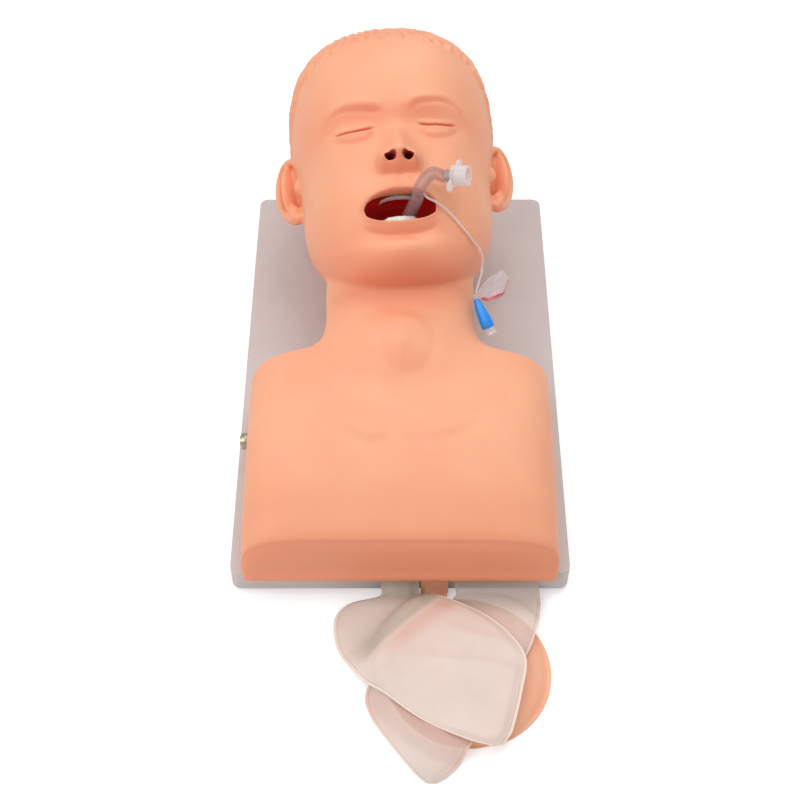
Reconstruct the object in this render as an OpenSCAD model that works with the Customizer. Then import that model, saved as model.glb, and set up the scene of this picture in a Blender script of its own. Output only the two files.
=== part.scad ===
/* [Base board] */
// How far the board stands out past the torso, on each side
board_margin = 9.5; // [5:0.5:24]
// Length of the base board, along the body
board_l = 391; // [360:1:440]
// Thickness of the base board
board_t = 20; // [12:1:30]
// Radius of the board's corners, seen from above
board_corner_r = 7; // [2:0.5:20]
// Height of a rubber foot under the board
foot_h = 4; // [3:0.5:8]
// Diameter of a rubber foot
foot_d = 18; // [12:1:26]
// Distance of each foot's centre from the board's edges
foot_inset = 22; // [16:1:40]

/* [Torso shell] */
// Width of the torso shell
torso_w = 226; // [216:1:232]
// How far the shell's foot end stands out past the board
torso_overhang = 8; // [7:0.5:12]
// Height of the shell's end wall, above the board
end_wall_h = 50; // [40:1:56]
// Height of the chest, above the board
chest_h = 78; // [72:1:86]
// Distance of the shoulders from the board's front edge
shoulder_y = 142; // [130:1:152]
// Thickness of the skin on the torso and neck
skin_t = 3.5; // [2.5:0.25:5]

/* [Neck] */
// Width of the neck
neck_w = 113; // [100:1:124]
// Height of the neck's front, above the board, where it meets the jaw
neck_top = 118; // [108:1:126]

/* [Head] */
// Width of the skull
skull_w = 162; // [150:1:172]
// Height of the skull's centre above the board
skull_z = 104; // [102:1:112]
// Distance of the skull's centre from the board's front edge
skull_y = 332; // [320:1:345]
// How far the face is tipped towards the feet, in degrees
head_tilt = 20; // [12:1:26]
// How far the head leans to its right side, in degrees
head_lean = 4; // [0:0.5:6]
// How far the skull's centre lies to the side of the board's middle
skull_x = -6; // [-8:0.5:0]
// Height of an ear
ear_h = 55; // [48:1:62]
// Width of the open mouth
mouth_w = 51; // [44:1:56]
// Height of the open mouth
mouth_h = 21; // [16:1:24]

/* [Airway] */
// Outer diameter of the windpipe
windpipe_d = 20; // [19:0.5:22]
// Bore of the windpipe
windpipe_bore = 16.4; // [16.2:0.1:17]
// Outer diameter of the gullet
gullet_d = 15; // [13:0.5:17]
// Wall of the mouth lining
lining_t = 2.5; // [1.5:0.25:3.5]
// Outer diameter of a lung connector's outlet
outlet_d = 12; // [9:0.5:14]

/* [Tracheal tube] */
// Outer diameter of the tracheal tube
tube_d = 9.6; // [8:0.1:10.4]
// Bore of the tracheal tube
tube_bore = 7; // [5:0.1:7.4]
// Outer diameter of the connector's conical end
connector_d = 15; // [13:0.1:16]
// Diameter of the thin pilot line
pilot_d = 2.4; // [1.6:0.1:3]
// Length of the valve's coloured housing
valve_l = 23; // [20:0.5:26]
// Largest diameter of the valve's housing
valve_d = 10; // [9:0.5:12]

/* [Bags] */
// Diameter of the stomach bladder
stomach_d = 116; // [100:1:124]
// Thickness of the stomach bladder
stomach_t = 9; // [6:0.5:11]
// Fullness of a lung bag, as a share of its drawn thickness
lung_fill = 1; // [0.6:0.05:1.1]

/* [Side socket] */
// Diameter of the socket's barrel outside the torso
socket_d = 12.5; // [11:0.5:15]
// Bore of the socket
socket_bore = 6.4; // [4:0.1:7]
// How far the socket stands out of the torso
socket_out = 5; // [3:0.5:7]

/* [Hidden] */

skin_colour = [0.96, 0.68, 0.54];
board_colour = [0.80, 0.76, 0.75];
rubber_colour = [0.15, 0.15, 0.16];
steel_colour = [0.72, 0.70, 0.66];
white_colour = [0.94, 0.94, 0.92];
lining_colour = [0.55, 0.05, 0.08];
film_colour = [0.91, 0.85, 0.82];
clear_colour = [0.86, 0.84, 0.86];
blue_colour = [0.05, 0.50, 0.88];
fit = 0.3;

board_w = torso_w + 2 * board_margin;
// The row's origin is under the middle of the whole object, and the board starts this far in front of it
front_y = -146;
board_top = foot_h + board_t;

function ease(t) = let (c = min(1, max(0, t))) c * c * (3 - 2 * c);
function bell(d, width) = exp(-(d * d) / (width * width));
function power(x, p) = sign(x) * pow(abs(x), p);
function blend4(a, b, c, d, t) =
    0.5 * (2 * b + (c - a) * t + (2 * a - 5 * b + 4 * c - d) * t * t + (3 * b - a - 3 * c + d) * t * t * t);
// A smooth curve through the rows of a list, at the row number s
function along(rows, s) =
    let (last = len(rows) - 1, i = min(floor(s), last - 1))
    blend4(rows[max(i - 1, 0)], rows[i], rows[i + 1], rows[min(i + 2, last)], s - i);
// The faces that join rings of equal size, with both ends closed
function ring_faces(rings, count) = concat(
    [for (i = [0:rings - 2], j = [0:count - 1])
        let (k = (j + 1) % count)
        each [[i * count + j, (i + 1) * count + k, i * count + k],
              [i * count + j, (i + 1) * count + j, (i + 1) * count + k]]],
    [[for (j = [0:count - 1]) j]],
    [[for (j = [count - 1:-1:0]) (rings - 1) * count + j]]);

// Lays children, drawn up the Z axis from the origin, along the line from one point to another
module between(a, b) {
    d = b - a;
    translate(a) rotate([0, acos(d[2] / norm(d)), atan2(d[1], d[0])]) children();
}
function unit(v) = v / norm(v);
// Directions along a path, and side directions that turn with it and don't spin
function path_dirs(p) = [for (i = [0:len(p) - 1]) unit(p[min(i + 1, len(p) - 1)] - p[max(i - 1, 0)])];
function path_sides(dirs, i, last) =
    let (flat = last - (last * dirs[i]) * dirs[i], now = unit(flat))
    concat([now], i < len(dirs) - 1 ? path_sides(dirs, i + 1, now) : []);
function path_rings(p, r, sides) =
    let (dirs = path_dirs(p), across = path_sides(dirs, 0, [0.9, 0.3, 0.1]))
    [for (i = [0:len(p) - 1], j = [0:sides - 1])
        let (a = 360 * j / sides)
        p[i] + r * cos(a) * across[i] + r * sin(a) * cross(dirs[i], across[i])];
module cord(p, d, sides) {
    polyhedron(path_rings(p, d / 2, sides), ring_faces(len(p), sides), convexity = 8);
}
module hose(p, d, bore, sides) {
    n = len(p) * sides;
    points = concat(path_rings(p, d / 2, sides), path_rings(p, bore / 2, sides));
    faces = concat(
        [for (i = [0:len(p) - 2], j = [0:sides - 1])
            let (k = (j + 1) % sides, a = i * sides, b = a + sides)
            each [[a + j, b + k, a + k], [a + j, b + j, b + k],
                  [n + a + j, n + a + k, n + b + k], [n + a + j, n + b + k, n + b + j]]],
        [for (j = [0:sides - 1])
            let (k = (j + 1) % sides, e = (len(p) - 1) * sides)
            each [[j, k, n + k], [j, n + k, n + j], [e + j, n + e + k, e + k], [e + j, n + e + j, n + e + k]]]);
    polyhedron(points, faces, convexity = 8);
}

// Head rows from under the chin to the crown: height, half width, front, back, middle depth
head_rows = [
    [-143, 1, 34, 32, 33],
    [-140, 22, 58, 6, 32],
    [-131, 42, 74, -10, 28],
    [-119, 55, 81, -24, 22],
    [-105, 64, 83, -38, 16],
    [-90, 70, 84, -52, 10],
    [-75, 73, 85, -64, 4],
    [-61, 74, 84, -75, -2],
    [-47, 75, 81, -86, -7],
    [-33, 77, 79, -94, -10],
    [-19, 79, 80, -101, -12],
    [-4, 80.5, 84, -105, -14],
    [15, 81, 86, -108, -15],
    [38, 80, 82, -107, -16],
    [60, 75.5, 71, -101, -17],
    [79, 65, 54, -89, -18],
    [94, 48, 31, -69, -19],
    [102, 28, 7, -46, -20],
    [105, 1, -20, -22, -21]];
head_rings = 52;
head_points = 46;
crown_v = head_rows[len(head_rows) - 1][0];
mouth_v = -91;

// What the face adds to the front surface, at a place across and up the face
function nose(x, v) =
    let (ridge = v > -52 ? 24 * pow(ease((-11 - v) / 41), 1.15) : 24 * ease((v + 65) / 13),
         width = 6.5 + 3 * ease((-27 - v) / 25))
    ridge * bell(x, width) + 8.5 * (bell(x - 12, 6) + bell(x + 12, 6)) * bell(v + 54, 7.5);
function sockets(x, v) =
    let (side = abs(x))
    -7 * bell(side - 30, 17) * bell(v + 17, 11)
    + 5.5 * bell(side - 31, 13) * bell(v + 21, 8)
    + 3 * bell(side - 26, 20) * bell(v + 2, 8);
function muzzle(x, v) =
    let (out = norm([x / (mouth_w / 2 + 3), (v - mouth_v) / (mouth_h / 2 + 3.5)]))
    5 * bell(x, 27) * bell(v + 78, 16) + 3.5 * bell(out - 1, 0.30) * bell(x, 34);
function jaw(x, v) = 6 * bell(x, 19) * bell(v + 125, 11) - 3 * bell(x, 24) * bell(v + 111, 5);
function cheeks(x, v) = 3 * bell(abs(x) - 44, 16) * bell(v + 46, 18);
function relief(x, v) = nose(x, v) + sockets(x, v) + muzzle(x, v) + jaw(x, v) + cheeks(x, v);

function head_point(row, turn, inset, front_inset) =
    let (angle = turn - 28 * sin(turn),
         half_w = max(0.5, row[1] * skull_w / 162 - inset),
         deep = cos(angle) > 0 ? max(0.3, row[2] - row[4] - front_inset) : max(0.3, row[4] - row[3] - inset),
         x = half_w * power(sin(angle), 0.88),
         z = row[4] + deep * power(cos(angle), 0.88),
         forward = front_inset > 0 ? 0 : ease(cos(angle) * 1.6) * relief(x, row[0]))
    [x, row[0], z + forward];

module head_form(inset, front_inset, rings, count) {
    last = len(head_rows) - 1;
    squeeze = (crown_v - inset * 1.2) / crown_v;
    points = [for (i = [0:rings - 1], j = [0:count - 1])
        let (p = head_point(along(head_rows, last * i / (rings - 1)), 360 * j / count, inset, front_inset))
        [p[0], p[1] * squeeze, p[2]]];
    polyhedron(points, ring_faces(rings, count), convexity = 6);
}

module in_head() {
    translate([skull_x, skull_y, skull_z]) rotate([head_tilt, 0, 0]) rotate([0, 0, head_lean]) children();
}

// Body rows from the foot end to inside the head: place, half width, top, underside, squareness
half_torso = torso_w / 2;
half_neck = neck_w / 2;
body_rows = [
    [-torso_overhang, half_torso - 5, end_wall_h - 8, 0, 5],
    [-torso_overhang + 1, half_torso - 1.5, end_wall_h - 3, 0, 5],
    [-torso_overhang + 5, half_torso, end_wall_h + 1, 0, 5],
    [8, half_torso, end_wall_h + 7, 0, 5],
    [32, half_torso, chest_h - 10, 0, 5.2],
    [62, half_torso, chest_h - 3, 0, 5.4],
    [92, half_torso, chest_h, 0, 5.5],
    [shoulder_y - 24, half_torso, chest_h, 0, 5.5],
    [shoulder_y - 8, half_torso, chest_h, 0, 5.5],
    [shoulder_y + 1, half_torso - 0.5, chest_h - 1, 0, 5.5],
    [shoulder_y + 5, half_torso - 4, chest_h - 4, 0, 5],
    [shoulder_y + 8, half_torso - 13, chest_h - 5, 0, 4],
    [shoulder_y + 12, half_neck + 26, neck_top - 40, 0, 2.8],
    [shoulder_y + 18, half_neck + 12, neck_top - 30, 3, 2.3],
    [shoulder_y + 27, half_neck + 4, neck_top - 16, 10, 2.1],
    [shoulder_y + 42, half_neck, neck_top - 2, 18, 2.0],
    [shoulder_y + 66, half_neck, neck_top + 8, 32, 2.0],
    [shoulder_y + 88, half_neck - 4, neck_top + 14, 58, 2.0]];
body_rings = 36;
body_points = 40;

// How far the neck's root stands out of the chest
neck_root = neck_top - chest_h - 20;
root_run = 2.8 * neck_root;
function chest_relief(x, y) =
    let (side = abs(x), clavicle_y = shoulder_y - 26 + 0.22 * side)
    neck_root * bell(x, 46) * ease((y - shoulder_y - 6) / root_run + 1) * ease((shoulder_y + 30 - y) / 22)
    + 3 * bell(y - clavicle_y, 8) * ease((side - 12) / 14) * ease((96 - side) / 20)
    + 4 * bell(side - 46, 34) * bell(y - 78, 26)
    + 3.5 * bell(x - 3, 19) * bell(y - 142, 19);

function body_point(row, turn, inset) =
    let (half_w = row[1] - inset,
         top = row[2] - inset * (row[0] > 90 ? 2.4 : 1),
         neck = row[0] > shoulder_y + 12,
         low = !neck && inset > 0 ? -2 : row[3] + inset,
         middle = neck ? (low + top) / 2 : low,
         up = cos(turn),
         p = 2 / row[4],
         x = half_w * power(sin(turn), up > 0 ? p : 0.5 * p),
         z = up > 0 ? middle + (top - middle) * pow(up, p) : middle - (middle - low) * power(-up, p))
    [x, row[0], max(inset > 0 ? -2 : 0, z + (up > 0 ? ease(up * 2) * chest_relief(x, row[0]) : 0))];

module body_form(inset, rings, count) {
    last = len(body_rows) - 1;
    points = [for (i = [0:rings - 1], j = [0:count - 1])
        let (p = body_point(along(body_rows, last * i / (rings - 1)), 360 * j / count, inset))
        [p[0], p[1] + (i == 0 ? inset : p[1] > shoulder_y - 20 ? -1.3 * inset : 0), p[2]]];
    polyhedron(points, ring_faces(rings, count), convexity = 6);
}

module ear(side) {
    rim = [[76, -22, 5], [82, -12, -3], [88, -12, -15], [91, -24, -23], [90, -38, -22], [86, -52, -14], [80, -63, -5]];
    for (i = [0:len(rim) - 2]) {
        hull() {
            for (k = [i, i + 1]) {
                p = rim[k];
                translate([side * p[0], (p[1] + 38) * ear_h / 55 - 38, p[2]]) sphere(d = 7, $fn = 8);
            }
            translate([side * 73, -38, -6]) sphere(d = 8, $fn = 8);
        }
    }
}

// A closed film bag: each row gives its left edge, its right edge and its thickness, and lying parts rest on what is below
function bag_points(rows, rings, pile) =
    let (last = len(rows) - 1,
         below = [0, 0.15, 0.35, 0.5, 0.65, 0.85, 1],
         above = [1, 0.93, 0.8, 0.6, 0.4, 0.2, 0.07, 0])
    [for (i = [0:rings - 1])
        let (row = along(rows, last * i / (rings - 1)), left = row[0], right = row[1], thick = row[2])
        each concat(
            [for (s = below) seat(left + (right - left) * s, pile)],
            [for (s = above)
                seat(left + (right - left) * s, pile)
                + thick * (0.22 + 0.78 * pow(sin(180 * s), 0.7))])];
// Height of what a point of a bag lies on, over the table
function over_stomach(x, y) =
    (stomach_t + fit) * ease((stomach_d / 2 + 17 - norm([x - stomach_x, y - stomach_y])) / 14);
function right_edge_x(y) = y > -84 ? 32 + (y + 18) * 0.85 : -24 - (y + 84) * 0.56;
function over_right_lung(x, y) = (right_lung_t + 3 * fit) * ease((x - right_edge_x(y) + 44) / 22);
function seat(p, pile) =
    pile == 0 || p[1] > -torso_overhang - 1 ? p
    : [p[0], p[1], max(p[2], 0.3 + (pile > 0 ? over_stomach(p[0], p[1]) : 0)
        + (pile > 1 ? over_right_lung(p[0], p[1]) : 0))];
module bag(rows, rings, pile) {
    translate([0, front_y, 0])
    polyhedron(bag_points(rows, rings, pile), ring_faces(rings, bag_sides), convexity = 6);
}

bag_sides = 15;
stomach_x = 48;
stomach_y = -10 - stomach_d / 2;
right_lung_t = 4.2 * lung_fill;
left_lung_t = 5.5 * lung_fill;
neck_gap = torso_overhang - skin_t;
film_y = -0.2 * neck_gap;
film_t = 0.5 * neck_gap;
outlet_y = 15;
left_outlet = [1, outlet_y, 30];
right_outlet = [66, outlet_y, 30];
gullet_end = [26, outlet_y, 20];

// A bag's neck: off its outlet, down between the shell and the board, and out under the shell's rim
function neck_rows(x, z, w, out_w, out_x, low) = [
    [[x - outlet_d / 2 - 1, outlet_y - fit, board_top + z - 3.5], [x + outlet_d / 2 + 1, outlet_y - fit, board_top + z - 3.5], [0, 0, 7.5]],
    [[x - w / 2 + 3, 8, board_top + z - 10], [x + w / 2 - 3, 8, board_top + z - 10], [0, -1, 5]],
    [[out_x - out_w / 2, 1.6, board_top + 7], [out_x + out_w / 2, 1.6, board_top + 7], [0, -film_t, 1.4]],
    [[out_x - out_w / 2, film_y, board_top - 1], [out_x + out_w / 2, film_y, board_top - 1], [0, -film_t, 0]],
    [[out_x - out_w / 2, film_y, board_top - 8], [out_x + out_w / 2, film_y, board_top - 8], [0, -film_t, 0]],
    [[out_x - out_w / 2, -3, low + 2], [out_x + out_w / 2, -3, low + 2], [0, -1.6, 1.2]]];

left_lung_rows = concat(neck_rows(left_outlet[0], left_outlet[2], 22, 28, 0, 10), [
    [[-15, -10, 9], [16, -10, 9], [0, 0, 2.4]],
    [[-36, -15, 7], [34, -15, 9], [0, 0, 0.6 * left_lung_t]],
    [[-46, -24, 4], [62, -30, 9], [0, 0, 0.9 * left_lung_t]],
    [[-47, -38, 2], [80, -48, 9], [0, 0, left_lung_t]],
    [[-42, -54, 1], [88, -66, 9], [0, 0, left_lung_t]],
    [[-24, -79, 1], [84, -90, 9], [0, 0, left_lung_t]],
    [[12, -110, 1], [79, -110, 4], [0, 0, 0.8 * left_lung_t]],
    [[44, -126, 1], [75, -122, 2], [0, 0, 0.6 * left_lung_t]],
    [[62, -131, 1], [70, -129, 1], [0, 0, 0.3 * left_lung_t]]]);
right_lung_rows = concat(neck_rows(right_outlet[0], right_outlet[2], 26, 61, 70, 10), [
    [[40, -10, 9], [101, -10, 8], [0, 0, 0.6 * right_lung_t]],
    [[32, -18, 9], [101, -19, 7], [0, 0, 0.9 * right_lung_t]],
    [[20, -34, 5], [98, -34, 5], [0, 0, right_lung_t]],
    [[4, -52, 3], [92, -53, 4], [0, 0, right_lung_t]],
    [[-14, -68, 1], [80, -76, 3], [0, 0, right_lung_t]],
    [[-24, -85, 1], [66, -100, 1], [0, 0, right_lung_t]],
    [[-20, -103, 1], [52, -122, 1], [0, 0, 0.9 * right_lung_t]],
    [[-6, -124, 1], [40, -139, 1], [0, 0, 0.8 * right_lung_t]],
    [[14, -151, 1], [28, -152, 1], [0, 0, 0.3 * right_lung_t]]]);
stomach_rows = concat(neck_rows(gullet_end[0], gullet_end[2], 18, 20, 25, 3), [
    [[15, -8.5, 0.4], [37, -8.5, 0.4], [0, 0, 0.4 * stomach_t]]],
    [for (a = [22:22:176])
        let (y = stomach_y + stomach_d / 2 * cos(a), w = stomach_d / 2 * sin(a))
        [[stomach_x - w, y, 0.3], [stomach_x + w, y, 0.3], [0, 0, stomach_t * (a > 170 ? 0.4 : 0.95)]]]);

// Places of the airway, across, up the face and out of it, in the head's own directions
windpipe_z = 34;
gullet_z = 8;
seat_z = 76;
lining_low = mouth_v - mouth_h / 2 - 4 - lining_t;
lining_half_w = mouth_w / 2 + 3.5 + lining_t;
lining_half_h = mouth_h / 2 + 4 + lining_t;
larynx_l = 24;
nasal_d = 9;
windpipe_start = lining_low - fit - larynx_l;
windpipe_end = -262;
gullet_bend = -236;
function ellipse(a, b, step) = [for (t = [0:step:359]) [a * cos(t), b * sin(t)]];
function turn_x(p, a) = [p[0], p[1] * cos(a) - p[2] * sin(a), p[1] * sin(a) + p[2] * cos(a)];
function turn_z(p, a) = [p[0] * cos(a) - p[1] * sin(a), p[0] * sin(a) + p[1] * cos(a), p[2]];
// A point given in the head's directions, as a place on the board
function on_board(p) = [skull_x, skull_y, skull_z] + turn_x(turn_z(p, head_lean), head_tilt);

module on_top() {
    translate([0, front_y, board_top]) children();
}
module down_airway(v, z) {
    translate([0, v, z]) rotate([90, 0, 0]) children();
}

rail_w = 12;
rail_h = 15;
rail_x = half_torso - skin_t - 1.2 - rail_w / 2;
rail_ys = [44, 80, 116];
screw_d = 4;
screw_head_d = 8;
screw_head_h = 3;

module base_board() {
    color(board_colour)
    translate([0, front_y, foot_h])
    difference() {
        linear_extrude(board_t) {
            translate([-board_w / 2 + board_corner_r, 0]) square([board_w - 2 * board_corner_r, board_l]);
            translate([-board_w / 2, board_corner_r]) square([board_w, board_l - 2 * board_corner_r]);
            for (x = [-1, 1], y = [board_corner_r, board_l - board_corner_r]) {
                translate([x * (board_w / 2 - board_corner_r), y]) circle(board_corner_r);
            }
        }
        for (x = [-1, 1], y = rail_ys) {
            translate([x * rail_x, y, -1]) cylinder(d = screw_d + 0.4, h = board_t + 2);
            translate([x * rail_x, y, -1]) cylinder(d = screw_head_d + 0.6, h = screw_head_h + 1.2);
        }
        at_feet() translate([0, 0, -1]) cylinder(d = screw_d, h = foot_screw_l);
    }
}

foot_screw_l = 10;
module at_feet() {
    for (x = [-1, 1], y = [foot_inset, board_l - foot_inset]) {
        translate([x * (board_w / 2 - foot_inset), y, 0]) children();
    }
}

module board_feet() {
    color(rubber_colour)
    translate([0, front_y, 0])
    at_feet() difference() {
        cylinder(d1 = foot_d - 2, d2 = foot_d, h = foot_h);
        translate([0, 0, -1]) cylinder(d = screw_d + 0.4, h = foot_h + 2);
        translate([0, 0, -1]) cylinder(d = screw_head_d + 0.4, h = 2.4);
    }
}

module foot_screws() {
    color(steel_colour)
    translate([0, front_y, 0])
    at_feet() {
        translate([0, 0, 0.4]) cylinder(d = screw_head_d, h = 1);
        translate([0, 0, 1.4]) cylinder(d = screw_d - 0.1, h = foot_h + foot_screw_l - 3);
    }
}

module skin_rail(side) {
    color(white_colour)
    on_top()
    difference() {
        translate([side * rail_x - rail_w / 2, 8, 0]) cube([rail_w, shoulder_y - 20, rail_h]);
        for (y = rail_ys) {
            translate([side * rail_x, y, -1]) cylinder(d = screw_d + 0.1, h = rail_h - 2);
        }
    }
}
module left_skin_rail() {
    skin_rail(-1);
}
module right_skin_rail() {
    skin_rail(1);
}

module rail_screws() {
    color(steel_colour)
    translate([0, front_y, foot_h])
    for (x = [-1, 1], y = rail_ys) {
        translate([x * rail_x, y, 0.2]) cylinder(d = screw_head_d, h = screw_head_h);
        translate([x * rail_x, y, 1]) cylinder(d = screw_d, h = board_t + rail_h - 6);
    }
}

module nostrils(d) {
    for (x = [-7, 7]) {
        hull() {
            translate([x, -66, seat_z - 14]) sphere(d = d, $fn = 10);
            translate([x * 0.95, -61, 112]) sphere(d = d, $fn = 10);
        }
    }
}

socket_y = 100;
socket_z = 26;
module manikin_skin() {
    color(skin_colour)
    on_top()
    difference() {
        union() {
            in_head() {
                head_form(0, 0, head_rings, head_points);
                ear(-1);
                ear(1);
            }
            body_form(0, body_rings, body_points);
        }
        in_head() {
            head_form(5, 12, 17, 20);
            translate([0, mouth_v, 40]) linear_extrude(80) polygon(ellipse(mouth_w / 2, mouth_h / 2, 15));
            translate([0, mouth_v, 20]) linear_extrude(seat_z - 20)
                polygon(ellipse(lining_half_w + fit, lining_half_h + fit, 15));
            nostrils(7);
        }
        body_form(skin_t, 22, 28);
        translate([-half_torso, socket_y, socket_z]) rotate([0, 90, 0]) {
            translate([0, 0, -1]) cylinder(d = socket_neck_d + 2 * fit, h = skin_t + 9, $fn = 24);
            translate([0, 0, skin_t]) cylinder(d = socket_d + 8, h = 12, $fn = 24);
        }
    }
}

module mouth_lining() {
    color(lining_colour)
    on_top() in_head()
    difference() {
        translate([0, mouth_v, -2]) linear_extrude(seat_z + 2 - 0.05) polygon(ellipse(lining_half_w, lining_half_h, 12));
        translate([0, mouth_v, lining_t - 2]) linear_extrude(seat_z + 2)
            polygon(ellipse(lining_half_w - lining_t, lining_half_h - lining_t, 12));
        down_airway(mouth_v, windpipe_z) cylinder(d = windpipe_bore + 4, h = 40);
        down_airway(mouth_v, gullet_z) cylinder(d = gullet_d - 4, h = 40);
        along_nose(nasal_d + fit, 0, 70);
    }
}

// A row of teeth round the arch, from its gum at the lining to its biting edge
module teeth(up, reach, tooth_w) {
    for (a = [-72:12:72]) {
        x = 17 * sin(a);
        z = seat_z - 15 + 11 * cos(a);
        wall = (lining_half_h - lining_t - 0.1) * sqrt(1 - pow((abs(x) + 2.4) / (lining_half_w - lining_t), 2));
        translate([x, mouth_v, z]) rotate([0, a * 0.9, 0])
            translate([-tooth_w / 2, up > 0 ? reach : -wall, -1.5]) cube([tooth_w, wall - reach, 3.2]);
    }
}
module upper_teeth() {
    color(white_colour) on_top() in_head() teeth(1, mouth_h / 2 - 1.5, 4.3);
}
module lower_teeth() {
    color(white_colour) on_top() in_head() teeth(-1, mouth_h / 2 - 3.5, 4.3);
}

module tongue() {
    color(lining_colour * 1.2)
    on_top() in_head()
    hull() {
        for (x = [-7, 7], z = [51, 60]) {
            translate([x, mouth_v - lining_half_h + lining_t + 3.4, z]) sphere(d = 4, $fn = 16);
        }
        translate([0, mouth_v - lining_half_h + lining_t + 3, 64]) sphere(d = 4, $fn = 16);
    }
}

// The nasal channels' line, from a nostril to the hole in the mouth lining's upper wall
module along_nose(d, from, l) {
    for (x = [-7, 7]) {
        between([x, -63, seat_z - 6], [x, mouth_v + lining_half_h + 2, 24]) translate([0, 0, from]) cylinder(d = d, h = l);
    }
}
module nasal_channels() {
    color(lining_colour)
    on_top() in_head() difference() {
        along_nose(nasal_d, 0, 49);
        along_nose(nasal_d - 3, -1, 60);
    }
}

module larynx() {
    color(skin_colour)
    on_top() in_head() down_airway(lining_low - fit, windpipe_z)
    rotate_extrude() {
        polygon([[windpipe_bore / 2 + 1, 0], [windpipe_d / 2 + 4, 0], [windpipe_d / 2 + 4, 3], [windpipe_d / 2 + 1, 6],
            [windpipe_d / 2 + 1, larynx_l - 8], [windpipe_d / 2 + 2.5, larynx_l - 4], [windpipe_d / 2 + 2.5, larynx_l],
            [windpipe_bore / 2, larynx_l], [windpipe_bore / 2, larynx_l - 8], [tube_d / 2 + 1.6, larynx_l - 11],
            [tube_d / 2 + 1.6, larynx_l - 13]]);
    }
}

module windpipe() {
    l = windpipe_start - fit / 2 - windpipe_end;
    ring = 11;
    color(film_colour)
    on_top() in_head() down_airway(windpipe_start - fit / 2, windpipe_z)
    difference() {
        union() {
            cylinder(d = windpipe_d - 1.6, h = l);
            for (k = [0:floor((l - 6) / ring)]) {
                translate([0, 0, 1 + k * ring]) cylinder(d = windpipe_d, h = 6);
            }
        }
        translate([0, 0, -1]) cylinder(d = windpipe_bore, h = l + 2);
    }
}

// The rounded run from one straight piece of tube to another
function bend(a, b, c, d, steps) =
    [for (i = [0:steps]) let (t = i / steps, u = 1 - t)
        u * u * u * a + 3 * u * u * t * b + 3 * u * t * t * c + t * t * t * d];
module gullet() {
    color(skin_colour)
    on_top() hose(concat([on_board([0, lining_low - fit, gullet_z])],
        bend(on_board([0, gullet_bend, gullet_z]), on_board([0, gullet_bend - 32, gullet_z]),
            gullet_end + [0, 26, -4], gullet_end + [0, 4, 0], 6), [gullet_end]), gullet_d, gullet_d - 5, 14);
}

hub_d = windpipe_bore + 11;
hub = on_board([0, windpipe_end - hub_d / 2 + 1, windpipe_z]);
hub_turn = outlet_d * 0.94;
module lung_connector() {
    color(white_colour)
    on_top() difference() {
        union() {
            in_head() down_airway(windpipe_end + 8, windpipe_z) cylinder(d = windpipe_bore - 0.2, h = 12);
            translate(hub) rotate([0, 0, 175]) sphere(d = hub_d);
        }
        translate(hub) rotate([0, 0, 175]) sphere(d = hub_d - 4);
        in_head() down_airway(windpipe_end + 9, windpipe_z) cylinder(d = windpipe_bore - 4, h = 18);
        for (e = [left_outlet, right_outlet]) {
            between(hub, e + [0, 22, 0]) cylinder(d = outlet_d + 2 * fit, h = hub_d);
        }
    }
}

// A tube from the lung connector to the neck of a bag
module bronchus(e) {
    way = unit(e + [0, 22, 0] - hub);
    color(skin_colour)
    on_top() hose(concat(bend(hub + hub_turn * way, hub + (hub_turn + 18) * way, e + [0, 16, 0], e + [0, 4, 0], 5), [e]),
        outlet_d, outlet_d - 3, 12);
}
module left_bronchus() {
    bronchus(left_outlet);
}
module right_bronchus() {
    bronchus(right_outlet);
}

module neck_tie(p) {
    translate(p) rotate([90, 0, 0]) difference() {
        union() {
            cylinder(d = outlet_d + 8, h = 2.5);
            translate([-2.5, outlet_d / 2 + 2.5, 0]) cube([5, 4, 2.5]);
        }
        translate([0, 0, -1]) cylinder(d = outlet_d + 5.6, h = 5);
    }
}
module lung_neck_ties() {
    color(white_colour)
    on_top() for (p = [left_outlet, right_outlet]) neck_tie(p - [0, 0.5, 0]);
}
module stomach_neck_tie() {
    color(white_colour) on_top() neck_tie(gullet_end - [0, 0.5, 0]);
}

module left_lung_bag() {
    color(film_colour) bag(left_lung_rows, 27, 2);
}
module right_lung_bag() {
    color(film_colour) bag(right_lung_rows, 27, 1);
}
module stomach_bladder() {
    color(skin_colour) bag(stomach_rows, 25, 0);
}

module at_socket() {
    on_top() translate([-half_torso, socket_y, socket_z]) rotate([0, 90, 0]) children();
}
socket_neck_d = socket_d - 2;
socket_in = 12;
module socket_barrel() {
    color(steel_colour)
    at_socket() difference() {
        union() {
            translate([0, 0, -socket_out]) cylinder(d = socket_d, h = socket_out - 0.05);
            translate([0, 0, -0.1]) cylinder(d = socket_neck_d, h = socket_in);
            translate([0, 0, -socket_out - 1]) cylinder(d = socket_d - 3, h = 2);
        }
        translate([0, 0, -socket_out - 2]) cylinder(d = socket_bore, h = socket_in + socket_out);
    }
}
module socket_washer() {
    color(steel_colour)
    at_socket() translate([0, 0, skin_t + 0.3]) difference() {
        cylinder(d = socket_d + 4, h = 1);
        translate([0, 0, -1]) cylinder(d = socket_neck_d + 0.3, h = 3);
    }
}
module socket_nut() {
    color(steel_colour)
    at_socket() translate([0, 0, skin_t + 1.35]) difference() {
        cylinder(d = socket_d + 4.5, h = 3.5, $fn = 6);
        translate([0, 0, -1]) cylinder(d = socket_neck_d + 0.1, h = 6);
    }
}
module socket_insulator() {
    color(rubber_colour)
    at_socket() translate([0, 0, socket_in - 0.1]) {
        cylinder(d = socket_neck_d, h = 6);
        translate([0, 0, 6]) cylinder(d = socket_neck_d - 4, h = 4);
    }
}

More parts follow.
